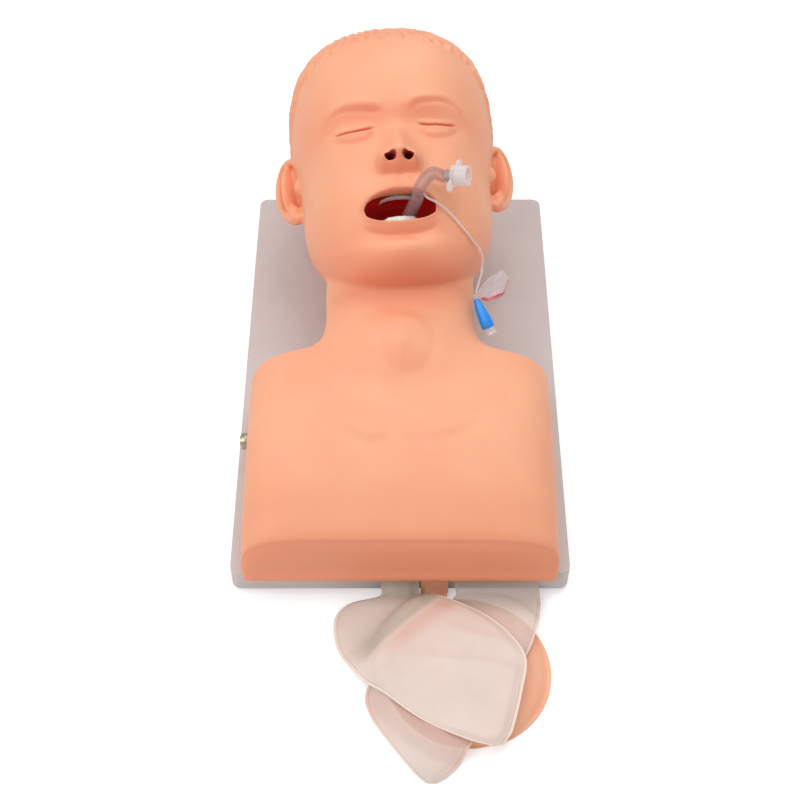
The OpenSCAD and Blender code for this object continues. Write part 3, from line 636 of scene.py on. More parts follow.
@dataclass
class ManikinSkin:
    """The head, neck and torso shell, one soft moulding."""

    skull_at: tuple[float, float, float] = (-6, 332, 104)
    head_tilt: float = 20
    head_lean: float = 4
    nose_x: float = 1.7
    mouth_v: float = -91
    mouth_w: float = 51
    mouth_h: float = 21
    torso_w: float = 226
    overhang: float = 8
    end_wall_h: float = 50
    chest_h: float = 78
    shoulder_y: float = 142
    neck_w: float = 113
    neck_top: float = 118
    skin_t: float = 3.5
    ear_v: float = -28
    cell: float = 1.15
    front_y: float = field(init=False)
    board_top: float = field(init=False)

    def __post_init__(self) -> None:
        """Takes the board's place from the frame."""
        low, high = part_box("base_board")
        self.front_y, self.board_top = low.y / MM, high.z / MM
        turn = Euler((math.radians(self.head_tilt), 0, 0)).to_matrix() @ Euler((0, 0, math.radians(self.head_lean))).to_matrix()
        self.turn = np.array(turn)

    # places

    def to_row(self, points: np.ndarray) -> np.ndarray:
        """Places over the board, in millimetres, as places in the frame, in metres."""
        return (points + [0, self.front_y, self.board_top]) * MM

    def head_to_row(self, points: np.ndarray) -> np.ndarray:
        """Places in the head's own directions, in millimetres, as places in the frame."""
        return self.to_row(points @ self.turn.T + np.array(self.skull_at))

    def row_to_head(self, points: np.ndarray) -> np.ndarray:
        """Places in the frame as places in the head's own directions, in millimetres."""
        over_board = points / MM - [0, self.front_y, self.board_top]
        return (over_board - np.array(self.skull_at)) @ self.turn

    def body_rows(self) -> np.ndarray:
        """Rows from the foot end to inside the head: place, half width, top, underside, squareness."""
        w, n, y, c, e, t = self.torso_w / 2, self.neck_w / 2, self.shoulder_y, self.chest_h, self.end_wall_h, self.neck_top
        return np.array([
            [-self.overhang, w - 6, e - 14, 0, 5], [1 - self.overhang, w - 2, e - 9, 0, 5],
            [5 - self.overhang, w, e - 2, 0, 5], [8, w, e + 6, 0, 5], [32, w, c - 10, 0, 5.2], [62, w, c - 3, 0, 5.4],
            [92, w, c, 0, 5.5], [y - 24, w, c, 0, 5.5], [y - 8, w, c, 0, 5.5], [y + 1, w - 0.5, c, 0, 5.5],
            [y + 5, w - 4, c - 0.5, 0, 5], [y + 8, w - 13, c, 0, 4], [y + 12, n + 26, c + 3, 0, 2.8],
            [y + 18, n + 12, c + 10, 3, 2.3], [y + 27, n + 4, c + 20, 10, 2.1], [y + 42, n, t - 10, 18, 2.0],
            [y + 66, n, t - 1, 32, 2.0], [y + 88, n - 4, t + 12, 58, 2.0],
        ], float)

    # forms

    def face_relief(self, x: np.ndarray, v: np.ndarray) -> np.ndarray:
        """How far the features stand out of the plain head, in millimetres."""
        side = np.abs(x)
        n = x - self.nose_x
        ridge = np.where(v > -51, 23 * ease((-11 - v) / 40) ** 1.25, 23 * ease((v + 66) / 15))
        width = 8.5 + 3 * ease((-24 - v) / 22)
        nose = ridge * np.exp(-((n / width) ** 2)) + 7.5 * (bell(n - 12.5, 5) + bell(n + 12.5, 5)) * bell(v + 54, 6.5)
        sockets = -7 * bell(side - 30, 17) * bell(v + 17, 11) + 5.5 * bell(side - 31, 13) * bell(v + 21, 8)
        brow = 3 * bell(side - 26, 20) * bell(v + 2, 8)
        out = np.hypot(x / (self.mouth_w / 2 + 3), (v - self.mouth_v) / (self.mouth_h / 2 + 3.5))
        muzzle = 5 * bell(x, 27) * bell(v + 78, 16) + 3.5 * bell(out - 1, 0.30) * bell(x, 34)
        jaw = 6 * bell(x, 19) * bell(v + 125, 11) - 3 * bell(x, 24) * bell(v + 111, 5)
        cheeks = 3 * bell(side - 44, 16) * bell(v + 46, 18)
        return nose + sockets + brow + muzzle + jaw + cheeks

    def head_form(self, rings: int = 150, count: int = 168) -> bpy.types.Object:
        """The plain head with its features, closed under the chin and at the crown."""
        rows = along(HEAD_ROWS, np.linspace(0, len(HEAD_ROWS) - 1, rings))
        turns = np.linspace(0, 2 * math.pi, count, endpoint=False)
        angle = turns - math.radians(28) * np.sin(turns)
        front = np.cos(angle)
        height, half_w, face, back, middle = (rows[:, k][:, None] for k in range(5))
        deep = np.where(front > 0, np.maximum(0.3, face - middle), np.maximum(0.3, middle - back))
        x = np.maximum(0.5, half_w) * signed_power(np.sin(angle), 0.88)
        v = np.broadcast_to(height, x.shape)
        z = middle + deep * signed_power(front, 0.88) + ease(front * 1.6) * self.face_relief(x, v)
        points = self.head_to_row(np.stack([x, v, z], -1).reshape(-1, 3))
        return face_outwards(mesh_piece("head_form", points, ring_faces(rings, count)))

    def chest_relief(self, x: np.ndarray, y: np.ndarray) -> np.ndarray:
        """How far the neck's root, collar bones, chest and windpipe stand out, in millimetres."""
        side = np.abs(x)
        collar = self.shoulder_y - 26 + 0.22 * side
        return (
            20 * bell(x, 46) * ease((y - 92) / 56) * ease((self.shoulder_y + 30 - y) / 22)
                + 0.6 * bell(y - collar, 12) * ease((side - 12) / 14) * ease((96 - side) / 20)
            + 4 * bell(side - 46, 34) * bell(y - 78, 26)
            + 3.5 * bell(x - 3, 19) * bell(y - 142, 19)
        )

    def body_form(self, inset: float, rings: int, count: int) -> bpy.types.Object:
        """The torso and neck, or with an inset the hollow inside them.

        Args:
            inset: How far inside the outer surface, in millimetres.
            rings: Sections along the body.
            count: Points in a section.

        Returns:
            The closed form.
        """
        table = self.body_rows()
        rows = along(table, np.linspace(0, len(table) - 1, rings))
        turns = np.linspace(0, 2 * math.pi, count, endpoint=False)
        place, half_w, top, under, square = (rows[:, k][:, None] for k in range(5))
        half_w = half_w - inset
        top = top - inset * np.where(place > 90, 2.4, 1)
        neck = place > self.shoulder_y + 12
        low = np.where(~neck & (inset > 0), -2, under + inset)
        middle = np.where(neck, (low + top) / 2, low)
        up, across = np.cos(turns)[None, :], np.sin(turns)[None, :]
        p = 2 / square
        x = half_w * np.sign(across) * np.abs(across) ** np.where(up > 0, p, 0.5 * p)
        rise = np.abs(up) ** p
        z = np.where(up > 0, middle + (top - middle) * rise, middle - (middle - low) * rise)
        y = np.broadcast_to(place, x.shape)
        z = np.maximum(-2 if inset else 0, z + np.where(up > 0, ease(up * 2) * self.chest_relief(x, y), 0))
        if inset:
            y = y + np.where(y > self.shoulder_y - 20, -1.3 * inset, 0) + 0
            y = np.maximum(y, inset + 2 - self.overhang)
        points = self.to_row(np.stack([x, y, z], -1).reshape(-1, 3))
        return face_outwards(mesh_piece("body_form", points, ring_faces(rings, count)))

    def ear(self, side: int) -> list[bpy.types.Object]:
        """An ear's plate, rim, inner fold, front flap and lobe, to be fused with the head.

        Args:
            side: -1 or 1, for the ear at low or at high X.

        Returns:
            The loose forms.
        """
        rim = [(74, -20, 10), (77.5, -9.5, 9), (82.5, -4, 4), (87.5, -4.5, -4), (91.5, -12, -10), (93, -24, -12),
               (91.5, -36, -10), (88, -46.5, -5), (83.5, -54, 1), (78.5, -57.5, 6), (75, -54, 11)]
        fold = [(79.5, -16, 1), (84.5, -15.5, -3), (87, -23, -6), (86.5, -33, -5), (83, -41, 0), (79, -45, 6)]
        forms = []
        for name, line, thick in (("rim", rim, 3.2), ("fold", fold, 2.3)):
            path = smooth_path([(side * a, b, c) for a, b, c in line], 48)
            swell = thick * (0.75 + 0.25 * np.sin(np.linspace(0.3, 2.9, 48)))
            points = self.head_to_row(sweep(path, swell, 14))
            forms.append(face_outwards(mesh_piece(name, points, ring_faces(48, 14))))
        for at, size, turn in (
            ((side * 82.5, -28, -1.5), (3.6, 24.5, 12.5), side * 38),
            ((side * 79.5, -51.5, 4.0), (4.0, 8.0, 6.5), side * 32),
            ((side * 76.0, -31, 12.0), (4.2, 7.0, 4.0), side * 30),
        ):
            clear_selection()
            bpy.ops.mesh.primitive_uv_sphere_add(segments=36, ring_count=22, radius=1)
            form = bpy.context.object
            lean = np.array(Euler((0, math.radians(turn), 0)).to_matrix())
            points = points_of(form) * size @ lean.T + np.array(at)
            move_points(form, self.head_to_row(points))
            forms.append(form)
        return forms

    def mouth_cutter(self) -> bpy.types.Object:
        """What is cut out for the mouth: an eye-shaped hole, narrow behind the lips."""
        turns = np.linspace(0, 2 * math.pi, 96, endpoint=False)
        across, up = np.cos(turns), np.sin(turns)
        x = self.mouth_w / 2 * signed_power(across, 0.88)
        v = np.where(up > 0, self.mouth_h / 2 * 0.98, self.mouth_h / 2 * 1.06) * signed_power(up, 0.80) + 0.8
        wide, tall = 31.9, 17.4
        rings = []
        for depth, grow in ((40, 1.0), (76.4, 1.0), (76.6, 0.78), (79, 0.40), (81.5, 0.12), (84.5, 0.0), (88, 0.0), (94, 0.08), (112, 0.5)):
            a = (1 - grow) * x + grow * wide * across
            b = (1 - grow) * v + grow * tall * up
            rings.append(np.stack([a, self.mouth_v + b, np.full_like(a, depth)], -1))
        depths = rings
        points = self.head_to_row(np.concatenate(rings))
        return face_outwards(mesh_piece("mouth_cutter", points, ring_faces(len(depths), 96)))

    def nostril_cutter(self, x: float) -> bpy.types.Object:
        """What is cut out for a nostril: an oval passage that leans back into the head."""
        line = [(0.86 * x, -66, 62), (0.92 * x, -58.5, 76), (0.98 * x, -54.5, 88), (x, -55, 99), (x, -57.5, 112)]
        path = smooth_path(line, 24) + [self.nose_x, 0, 0]
        radii = np.interp(np.linspace(0, 1, 24), [0, 0.5, 0.8, 1], [2.6, 2.9, 3.1, 3.5])
        points = sweep(path, radii, 28, Vector((1, 0, 0)))
        middle = np.repeat(path, 28, axis=0)
        points = middle + (points - middle) * [1.22, 0.72, 0.80]
        return face_outwards(mesh_piece("nostril_cutter", self.head_to_row(points), ring_faces(24, 28)))

    def fuse(self) -> bpy.types.Object:
        """Joins the forms into one skin and cuts its openings."""
        forms = [self.head_form(), self.body_form(0, 170, 200), *self.ear(-1), *self.ear(1)]
        skin = remesh(join(forms, "moulded_skin"), self.cell * 1.1 * MM)
        for tool in (self.mouth_cutter(), self.nostril_cutter(-6.9), self.nostril_cutter(6.9)):
            combine(skin, tool, Cut.TAKE)
        return remesh(skin, self.cell * MM)

    def weights(self, skin: bpy.types.Object, name: str, values: np.ndarray) -> None:
        """Stores how strongly each point takes part in a modifier."""
        group = skin.vertex_groups.new(name=name)
        for step in range(1, 11):
            picked = np.nonzero(np.round(values * 10) == step)[0]
            if len(picked):
                group.add(picked.tolist(), step / 10, "REPLACE")

    def round_joints(self, skin: bpy.types.Object) -> None:
        """Smooths where the head meets the neck, and the whole skin a little."""
        head = self.row_to_head(points_of(skin))
        over = points_of(skin) / MM - [0, self.front_y, self.board_top]
        y = over[:, 1]
        z = over[:, 2]
        ear = ease((np.abs(head[:, 0]) - 72) / 4) * bell(head[:, 1] + 28, 38) * (head[:, 2] > -30)
        jaw = ease((head[:, 1] + 150) / 8) * ease((head[:, 2] - 12) / 12) * (y > 172)
        root = ease((y - 128) / 16) * ease((268 - y) / 20) * (1 - ear) * (1 - jaw)
        self.weights(skin, "root", np.clip(root, 0, 1))
        modify(skin, "SMOOTH", factor=0.7, iterations=60, vertex_group="root")
        rim = ease((24 - y) / 12) * ease((z - 14) / 14)
        self.weights(skin, "rim", np.clip(rim, 0, 1))
        modify(skin, "SMOOTH", factor=0.7, iterations=60, vertex_group="rim")
        edges = bell(self.mouth_gap(head[:, 0], head[:, 1]), 3.2) * ease((head[:, 2] - 74) / 3)
        for x in (-6.9, 6.9):
            edges += bell(np.hypot((head[:, 0] - self.nose_x - x) / 1.25, head[:, 1] + 55) - 3.1, 1.8) * ease((head[:, 2] - 82) / 5)
        self.weights(skin, "edges", np.clip(edges, 0, 1))
        modify(skin, "SMOOTH", factor=0.5, iterations=9, vertex_group="edges")
        features = ease((head[:, 2] - 50) / 12) * ease((head[:, 1] + 126) / 8) * ease((6 - head[:, 1]) / 12)
        light = np.clip(0.3 + 0.7 * (1 - features) * (1 - ear), 0, 1)
        self.weights(skin, "light", light)
        modify(skin, "SMOOTH", factor=0.5, iterations=8, vertex_group="light")

    def refine(self, skin: bpy.types.Object) -> None:
        """Gives the eyes, nose and lips a finer net."""
        for size in ((62, (-122, 8), 50), (56, (-30, 2), 50)):
            half, (low, high), depth = size
            mesh = bmesh.new()
            mesh.from_mesh(skin.data)
            places = self.row_to_head(np.array([f.calc_center_median() for f in mesh.faces]))
            near = (np.abs(places[:, 0]) < half) & (places[:, 1] > low) & (places[:, 1] < high) & (places[:, 2] > depth)
            if half == 56:
                near &= (np.abs(np.abs(places[:, 0]) - 31) < 19)
            faces = [f for f, ok in zip(mesh.faces, near) if ok]
            edges = list({e for f in faces for e in f.edges})
            bmesh.ops.subdivide_edges(mesh, edges=edges, cuts=1, use_grid_fill=True, smooth=0.3)
            bmesh.ops.triangulate(mesh, faces=[f for f in mesh.faces if len(f.verts) > 4])
            mesh.to_mesh(skin.data)
            mesh.free()

    def beside(self, plan: np.ndarray, line: Sequence[tuple[float, float]]) -> tuple[np.ndarray, np.ndarray, np.ndarray]:
        """How points lie beside a smooth line drawn on the face or the chest.

        Args:
            plan: Places across and up, in millimetres.
            line: The line's own places.

        Returns:
            Distance from the line, positive on the side of greater height; how far along it, from 0 to 1; and how
            much of the line's full strength is left towards its ends.
        """
        route = smooth_path(line, 48)
        ahead = np.gradient(route, axis=0)
        spacing = np.linalg.norm(ahead, axis=1)
        ahead /= spacing[:, None]
        nearest = np.linalg.norm(plan[:, None, :] - route[None, :, :], axis=2).argmin(axis=1)
        off = plan - route[nearest]
        way = ahead[nearest]
        aside = way[:, 0] * off[:, 1] - way[:, 1] * off[:, 0]
        run = np.einsum("ij,ij->i", way, off) / spacing[nearest]
        t = (nearest + run) / 47
        return aside, t, ease(t / 0.16) * ease((1 - t) / 0.16)

    def mouth_gap(self, x: np.ndarray, v: np.ndarray) -> np.ndarray:
        """Distance outside the open mouth's edge, in millimetres."""
        up = v - self.mouth_v - 0.8
        half_h = np.where(up > 0, self.mouth_h / 2 * 0.98, self.mouth_h / 2 * 1.06)
        out = ((np.abs(x) / (self.mouth_w / 2)) ** 2.3 + (np.abs(up) / half_h) ** 2.5) ** (1 / 2.4)
        return np.hypot(x, up) * (1 - 1 / np.maximum(out, 0.05))

    def carve_face(self, skin: bpy.types.Object) -> None:
        """Shapes the closed lids, the nose's wings, the lips and the folds of the face, and colours the lips red and
        the creases of the eyes, nose and lower lip and the chin's underside with painted shade.
        """
        head = self.row_to_head(points_of(skin))
        chosen = np.nonzero((head[:, 2] > 30) & (np.abs(head[:, 0]) < 66) & (head[:, 1] > -140) & (head[:, 1] < 24))[0]
        near = head[chosen]
        x, v, z = near.T
        plan = near[:, :2]
        front = ease((z - 38) / 12)
        lift, lip_red_and_painted_shade = np.zeros(len(near)), np.zeros(len(near))
        # Each eye's slit, brow fold and bag are grooves, with painted shade along them.
        for eye in FACE_LINES:
            slit, _, ends = self.beside(plan, eye.slit)
            lift += -1.9 * ends * bell(slit, 0.80) + 0.5 * ends * (bell(slit - 2.2, 1.6) + bell(slit + 2.2, 1.6))
            lip_red_and_painted_shade += 1.1 * ends * bell(slit, 0.95)
            dome = np.hypot((x - eye.middle[0]) / 17, (v - eye.middle[1]) / 10.5)
            lift += 1.5 * ease((1.15 - dome) / 0.9)
            brow, _, ends = self.beside(plan, eye.brow)
            fade = ends * (0.35 + 0.65 * ease((50 - np.abs(x)) / 14))
            lift += fade * (-1.15 * bell(brow + 0.6, 2.2) + 1.0 * bell(brow - 3.8, 3.4))
            lip_red_and_painted_shade += 0.16 * fade * bell(brow + 0.5, 3.0)
            bag, _, ends = self.beside(plan, eye.bag)
            lift += ends * (-0.75 * bell(bag, 2.2) + 0.5 * bell(bag - 4, 2.8))
            lip_red_and_painted_shade += 0.10 * ends * bell(bag, 2.6)
        n = x - self.nose_x
        side = np.abs(n)
        lift += 2.6 * bell(side - 12.2, 3.4) * bell(v + 55, 5.5)
        lift -= 2.0 * bell(side - 17.2, 1.9) * bell(v + 55, 6.5) + 1.0 * bell(v + 63.5, 2.6) * ease((16 - side) / 5)
        # painted shade in the creases round the nose's wings and under its base
        lip_red_and_painted_shade += 0.24 * bell(side - 17.0, 2.6) * bell(v + 55, 8) + 0.20 * bell(v + 62.5, 3.0) * ease((17 - side) / 5)
        lift -= 1.0 * bell(n, 2.6) * bell(v + 69, 6)
        lift += 0.6 * bell(side - 5.2, 2.2) * bell(v + 69, 6)
        gap = self.mouth_gap(x, v)
        upper = v > self.mouth_v + 1
        corner = ease((30 - np.abs(x)) / 9)
        lift += np.where(upper, 0.9, 1.5) * bell(gap - 2.0, 2.2) * corner
        lift -= np.where(upper, 0.55 * bell(gap - 5.6, 1.4), 1.3 * bell(gap - 10.5, 3.0)) * corner
        lift -= 0.7 * bell(np.abs(x) - 29.5, 3.2) * bell(v - self.mouth_v, 5)
        fold = 20.5 + (-57 - v) * 0.40
        lift -= 0.8 * bell(side - fold, 3.0) * ease((-55 - v) / 7) * ease((v + 90) / 16)
        # the lips' own red along the opening, and painted shade in the crease under the lower lip
        lip_red_and_painted_shade += 0.42 * bell(gap - 1.0, 2.6) * (gap > -3) + np.where(upper, 0, 0.22) * bell(gap - 11, 4.0) * corner
        near[:, 2] += lift * front
        moved = points_of(skin)
        moved[chosen] = self.head_to_row(near)
        move_points(skin, moved)
        values = np.zeros(len(head))
        values[chosen] = lip_red_and_painted_shade * front
        # painted shadow under the chin
        chin = 0.55 * bell(head[:, 1] + 139, 8) * ease((head[:, 2] - 22) / 14) * bell(head[:, 0], 62)
        self.store(skin, "lip_red_and_painted_shade", np.clip(values + chin, 0, 1))
        self.store(skin, "deep", self.depth_tint(skin))

    def depth_tint(self, skin: bpy.types.Object) -> np.ndarray:
        """How far each point lies on the walls of a nostril or of the hole behind the lips, from 0 to 1: there the skin
        is painted dark red, the inside's own red darkened by painted shade.
        """
        row = points_of(skin)
        head = self.row_to_head(row)
        flat = np.zeros(len(row) * 3)
        skin.data.vertices.foreach_get("normal", flat)
        ways = flat.reshape(-1, 3) @ self.turn
        tint = np.zeros(len(row))
        for x in (-6.9, 6.9):
            middle = np.stack([np.full(40, self.nose_x + x), np.full(40, -55.0), np.linspace(66, 101, 40)], -1)
            middle[:, 1] -= 0.05 * np.maximum(0, 84 - middle[:, 2]) ** 1.4
            off = head[:, None, :] - middle[None, :, :]
            far = np.linalg.norm(off, axis=2)
            nearest = far.argmin(axis=1)
            gap = far[np.arange(len(row)), nearest]
            inward = -np.einsum("ij,ij->i", ways, off[np.arange(len(row)), nearest]) / np.maximum(gap, 0.1)
            tint = np.maximum(tint, ease((6.0 - gap) / 1.0) * ease((inward - 0.15) / 0.35))
        behind = (self.mouth_gap(head[:, 0], head[:, 1]) < 12) & (head[:, 2] > 30) & (head[:, 1] < -60) & (ways[:, 2] < 0.25)
        tint = np.maximum(tint, behind * ease((84 - head[:, 2]) / 3))
        return np.clip(tint, 0, 1)

    def store(self, skin: bpy.types.Object, name: str, values: np.ndarray) -> None:
        """Keeps a number on each point, for the material."""
        layer = skin.data.attributes.new(name, "FLOAT", "POINT")
        layer.data.foreach_set("value", values.astype(np.float32))

    def comb_hair(self, skin: bpy.types.Object) -> None:
        """Raises the short moulded hair: a thickness with an uneven edge, and combed locks, with painted shade between
        them.
        """
        head = self.row_to_head(points_of(skin))
        x, v, z = head.T
        round_at = np.arctan2(x, z + 14)
        # the hairline: high over the forehead, down in front of the ears, low at the nape
        turn = np.abs(round_at)
        line = np.interp(turn, [0, 0.35, 0.75, 1.05, 1.35, 1.62, 2.2, 3.15], [63, 62, 52, 30, 8, -14, -52, -66])
        ragged = 2.6 * np.sin(round_at * 31 + 1.2 * np.sin(round_at * 9)) + 1.6 * np.sin(round_at * 67 + 2)
        inside = ease((v - line - ragged) / 5.0)
        near_ear = bell(np.abs(x) - 84, 10) * bell(v - self.ear_v, 36) * (np.abs(x) > 75)
        neck = ease((v + 96) / 14)
        inside = inside * (1 - np.clip(near_ear, 0, 1)) * neck
        swirl = round_at + 0.010 * v + 0.35 * np.sin(v * 0.045 + 1)
        locks = np.abs(np.sin(swirl * 27 + 1.6 * ripple(head, 46, 3))) ** 0.8
        fine = np.sin(swirl * 88 + 2.2 * ripple(head, 26, 8))
        waves = 0.5 + 0.5 * np.sin(v * 0.42 + 3.0 * ripple(head, 55, 5) + 2.2 * np.sin(round_at * 8))
        height = inside * (0.7 + 1.15 * locks + 0.30 * fine + 0.9 * waves * locks)
        normals = np.zeros(len(skin.data.vertices) * 3)
        skin.data.vertices.foreach_get("normal", normals)
        move_points(skin, points_of(skin) + normals.reshape(-1, 3) * (height * 0.85 * MM)[:, None])
        lip_red_and_painted_shade = np.zeros(len(head), np.float32)
        layer = skin.data.attributes["lip_red_and_painted_shade"].data
        layer.foreach_get("value", lip_red_and_painted_shade)
        # painted shade in the hollows between the locks and in the troughs of the waves
        between = inside * (0.30 * (1 - locks) ** 1.5 + 0.16 * (1 - waves) * locks)
        layer.foreach_set("value", np.clip(lip_red_and_painted_shade + between, 0, 1).astype(np.float32))

    def relax_chest(self, skin: bpy.types.Object) -> None:
        """Adds the faint unevenness of a soft moulding to the chest and its rim."""
        points = points_of(skin)
        over = points / MM - [0, self.front_y, self.board_top]
        x, y, z = over.T
        body = ease((150 - y) / 20)
        plan = over[:, :2]
        wave = 0.35 * ripple(plan, 95, 11) * body * ease((z - 12) / 10)
        egg = np.hypot((x - 5) / 17.0, (y - 143) / np.where(y > 143, 17, 23))
        lift = 0.8 * ease((1.2 - egg) / 0.45) - 0.2 * bell(egg - 1.25, 0.15)
        for line, depth, width in (
            (((-52, 80), (-36, 66), (-20, 60), (-6, 66)), 1.1, 6.5),
            (((-4, 64), (22, 62), (46, 68), (62, 82)), 0.8, 6.5),
            (((-84, 84), (-66, 80), (-48, 80)), 0.4, 7.0),
        ):
            off, _, ends = self.beside(plan, line)
            lift += depth * ends * (0.75 * bell(off - width * 1.1, width * 1.2) - bell(off, width * 0.8)) * (z > 55)
        points[:, 2] += (wave + lift * (z > 55)) * MM
        points[:, 1] += 1.7 * ease((z - 4) / 9) * ease((-3 - y) / 3) * MM
        move_points(skin, points)

    def keep_within(self, skin: bpy.types.Object) -> None:
        """Eases the crown and the nose back to where the CAD's box ends."""
        points = points_of(skin)
        for axis, room in ((1, 3.0 * MM), (2, 0.5 * MM)):
            past = np.maximum(points[:, axis] - (CAD_BOX[1][axis] - 0.1 * MM - room), 0)
            points[:, axis] -= past - room * (1 - np.exp(-past / room))
        move_points(skin, points)

    def hollow(self, skin: bpy.types.Object) -> None:
        """Takes out the torso's inside, so that the moulding has its wall."""
        combine(skin, self.body_form(self.skin_t, 40, 48), Cut.TAKE)

    def socket_hole(self, skin: bpy.types.Object) -> None:
        """Cuts the side hole that the socket passes through."""
        low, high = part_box("socket_barrel")
        bpy.ops.mesh.primitive_cylinder_add(
            vertices=40, radius=(high.z - low.z) / 2 - 0.0007, depth=0.03,
            location=(-self.torso_w / 2 * MM, (low.y + high.y) / 2, (low.z + high.z) / 2), rotation=(0, math.pi / 2, 0),
        )
        tool = bpy.context.object
        bpy.ops.object.transform_apply(location=True, rotation=True, scale=True)
        combine(skin, tool, Cut.TAKE)

    def thin_out(self, skin: bpy.types.Object, limit: int = 188000) -> None:
        """Lowers the number of triangles where the surface is plain."""
        count = sum(len(p.vertices) - 2 for p in skin.data.polygons)
        if count <= limit:
            return
        modify(skin, "DECIMATE", ratio=limit / count)
        log.info("thinned the skin from %d to %d triangles", count, limit)

    def build(self) -> bpy.types.Object:
        """Makes the whole skin."""
        skin = self.fuse()
        self.round_joints(skin)
        self.refine(skin)
        self.carve_face(skin)
        self.comb_hair(skin)
        self.relax_chest(skin)
        self.keep_within(skin)
        self.socket_hole(skin)
        self.hollow(skin)
        self.thin_out(skin)
        skin.vertex_groups.clear()
        smooth(skin, 60)
        # Painted shade: points facing the foot end and down, away from the key lamp, and a painted shadow on the neck
        # under the chin, are stored as warm, for the skin's shaded colour.
        flat = np.zeros(len(skin.data.vertices) * 3)
        skin.data.vertices.foreach_get("normal", flat)
        over = points_of(skin) / MM - [0, self.front_y, self.board_top]
        chin_shadow = 0.9 * bell(over[:, 1] - 168, 14) * bell(over[:, 0], 42) * ease((over[:, 2] - 90) / 10)
        self.store(skin, "warm", np.clip(ease(-1.15 * flat[1::3] - 0.25 * flat[2::3] + 0.1) + chin_shadow, 0, 1))
        return settle(skin, SoftSkin().make(), "skin", "manikin_skin")


# ------------------------------------------------------------------- the mouth


@dataclass
class Mouth:
    """What lies behind the lips: the lining, the teeth and the tongue."""

    skin: ManikinSkin
    wall: float = 2.5
    gap: float = 3.5
    seat_z: float = 75.6

    def lining(self) -> bpy.types.Object:
        """The soft lining, with full cheeks and ridges along its roof."""
        skin = self.skin
        turns = np.linspace(0, 2 * math.pi, 96, endpoint=False)
        across, up = np.cos(turns), np.sin(turns)
        half_w, half_h = skin.mouth_w / 2 + self.gap, skin.mouth_h / 2 + 4.0
        rings = []
        for depth, shrink in [(self.seat_z, -self.wall), (74, -self.wall), (0, -self.wall), (-1.5, -self.wall)]:
            rings.append((depth, half_w - shrink, half_h - shrink, 0.0))
        for depth in np.linspace(1, 70, 26):
            rings.append((depth, half_w, half_h, 1.0))
        rings.append((self.seat_z, half_w, half_h, 0.0))
        points = []
        for depth, a, b, inner in rings:
            cheek = inner * (2.6 * bell(np.abs(across) - 1, 0.35) * bell(depth - 52, 16))
            roof = inner * 0.7 * np.sin(depth * 0.9) * np.clip(up, 0, 1) ** 2
            floor = inner * 1.5 * np.clip(-up, 0, 1) ** 2 * ease((60 - depth) / 30)
            points.append(np.stack([(a - cheek) * across, skin.mouth_v + (b - roof - floor) * up, np.full(96, depth)], -1))
        order = points[:4] + points[4:]
        flat = skin.head_to_row(np.concatenate(order))
        faces = ring_faces(len(rings), 96)
        last = (len(rings) - 1) * 96
        keep = [f for f in faces[:-2] if not min(f) < 4 * 96 <= max(f)]
        keep += [[3 * 96 + j for j in range(96)], [4 * 96 + j for j in range(96)]]
        keep += [[j, (j + 1) % 96, last + (j + 1) % 96, last + j] for j in range(96)]
        piece = face_outwards(mesh_piece("mouth_lining_soft", flat, keep))
        finish = Moulded("mouth_red", (0.95, 0.075, 0.070), (0.84, 0.045, 0.045), rough=0.36, grain=500, depth=0.0002, specular=0.25)
        for depth, radius in ((34, 8.4), (8, 5.2)):
            inlet = skin.head_to_row(sweep(np.array([[0, v, depth] for v in (-98, -104, -112)], float), np.full(3, radius), 32))
            combine(piece, face_outwards(mesh_piece("inlet", inlet, ring_faces(3, 32))), Cut.TAKE)
        smooth(piece, 50)
        return settle(piece, finish.make(), "mouth_red", "mouth_lining")

    def teeth(self, node: str, up: bool) -> bpy.types.Object:
        """One arch of teeth, with a soft groove between each two."""
        piece = copy_of(node, node + "_arch")
        remesh(piece, 0.0004)
        head = self.skin.row_to_head(points_of(piece))
        if up:
            head[:, 1] = head[:, 1].max() - 0.45 * (head[:, 1].max() - head[:, 1])
        head += [0, 0.5, 3.0] if up else [0, 4.2, 3.6]
        notch = np.abs(np.sin(head[:, 0] * math.pi / 6.2))
        head[:, 2] -= 0.3 * (1 - notch) ** 3
        head[:, 1] -= (0 if up else 3.5) * ease((np.abs(head[:, 0]) - 9) / 8)
        move_points(piece, self.skin.head_to_row(head))
        modify(piece, "SMOOTH", factor=0.5, iterations=2)
        smooth(piece, 60)
        finish = Moulded("teeth_" + node, (0.97, 0.96, 0.93), (0.93, 0.91, 0.86), rough=0.3, grain=1500, depth=0.00004, coat=0.3)
        return settle(piece, finish.make(), "teeth_white", node)

    def tongue(self) -> bpy.types.Object:
        """The tongue: a low rounded form with a groove along it."""
        piece = copy_of("tongue", "tongue_soft")
        remesh(piece, 0.0005)
        head = self.skin.row_to_head(points_of(piece))
        head[:, 1] -= 0.5 * bell(head[:, 0], 1.2)
        move_points(piece, self.skin.head_to_row(head))
        modify(piece, "SMOOTH", factor=0.5, iterations=6)
        smooth(piece, 60)
        finish = Moulded("tongue_red", (0.62, 0.10, 0.11), (0.50, 0.06, 0.07), rough=0.38, grain=900, depth=0.00015)
        return settle(piece, finish.make(), "tongue_red", "tongue")

    def build(self) -> None:
        """Makes all the pieces of the mouth."""
        self.lining()
        self.teeth("upper_teeth", True)
        self.teeth("lower_teeth", False)
        self.tongue()


# -------------------------------------------------------------------- the bags


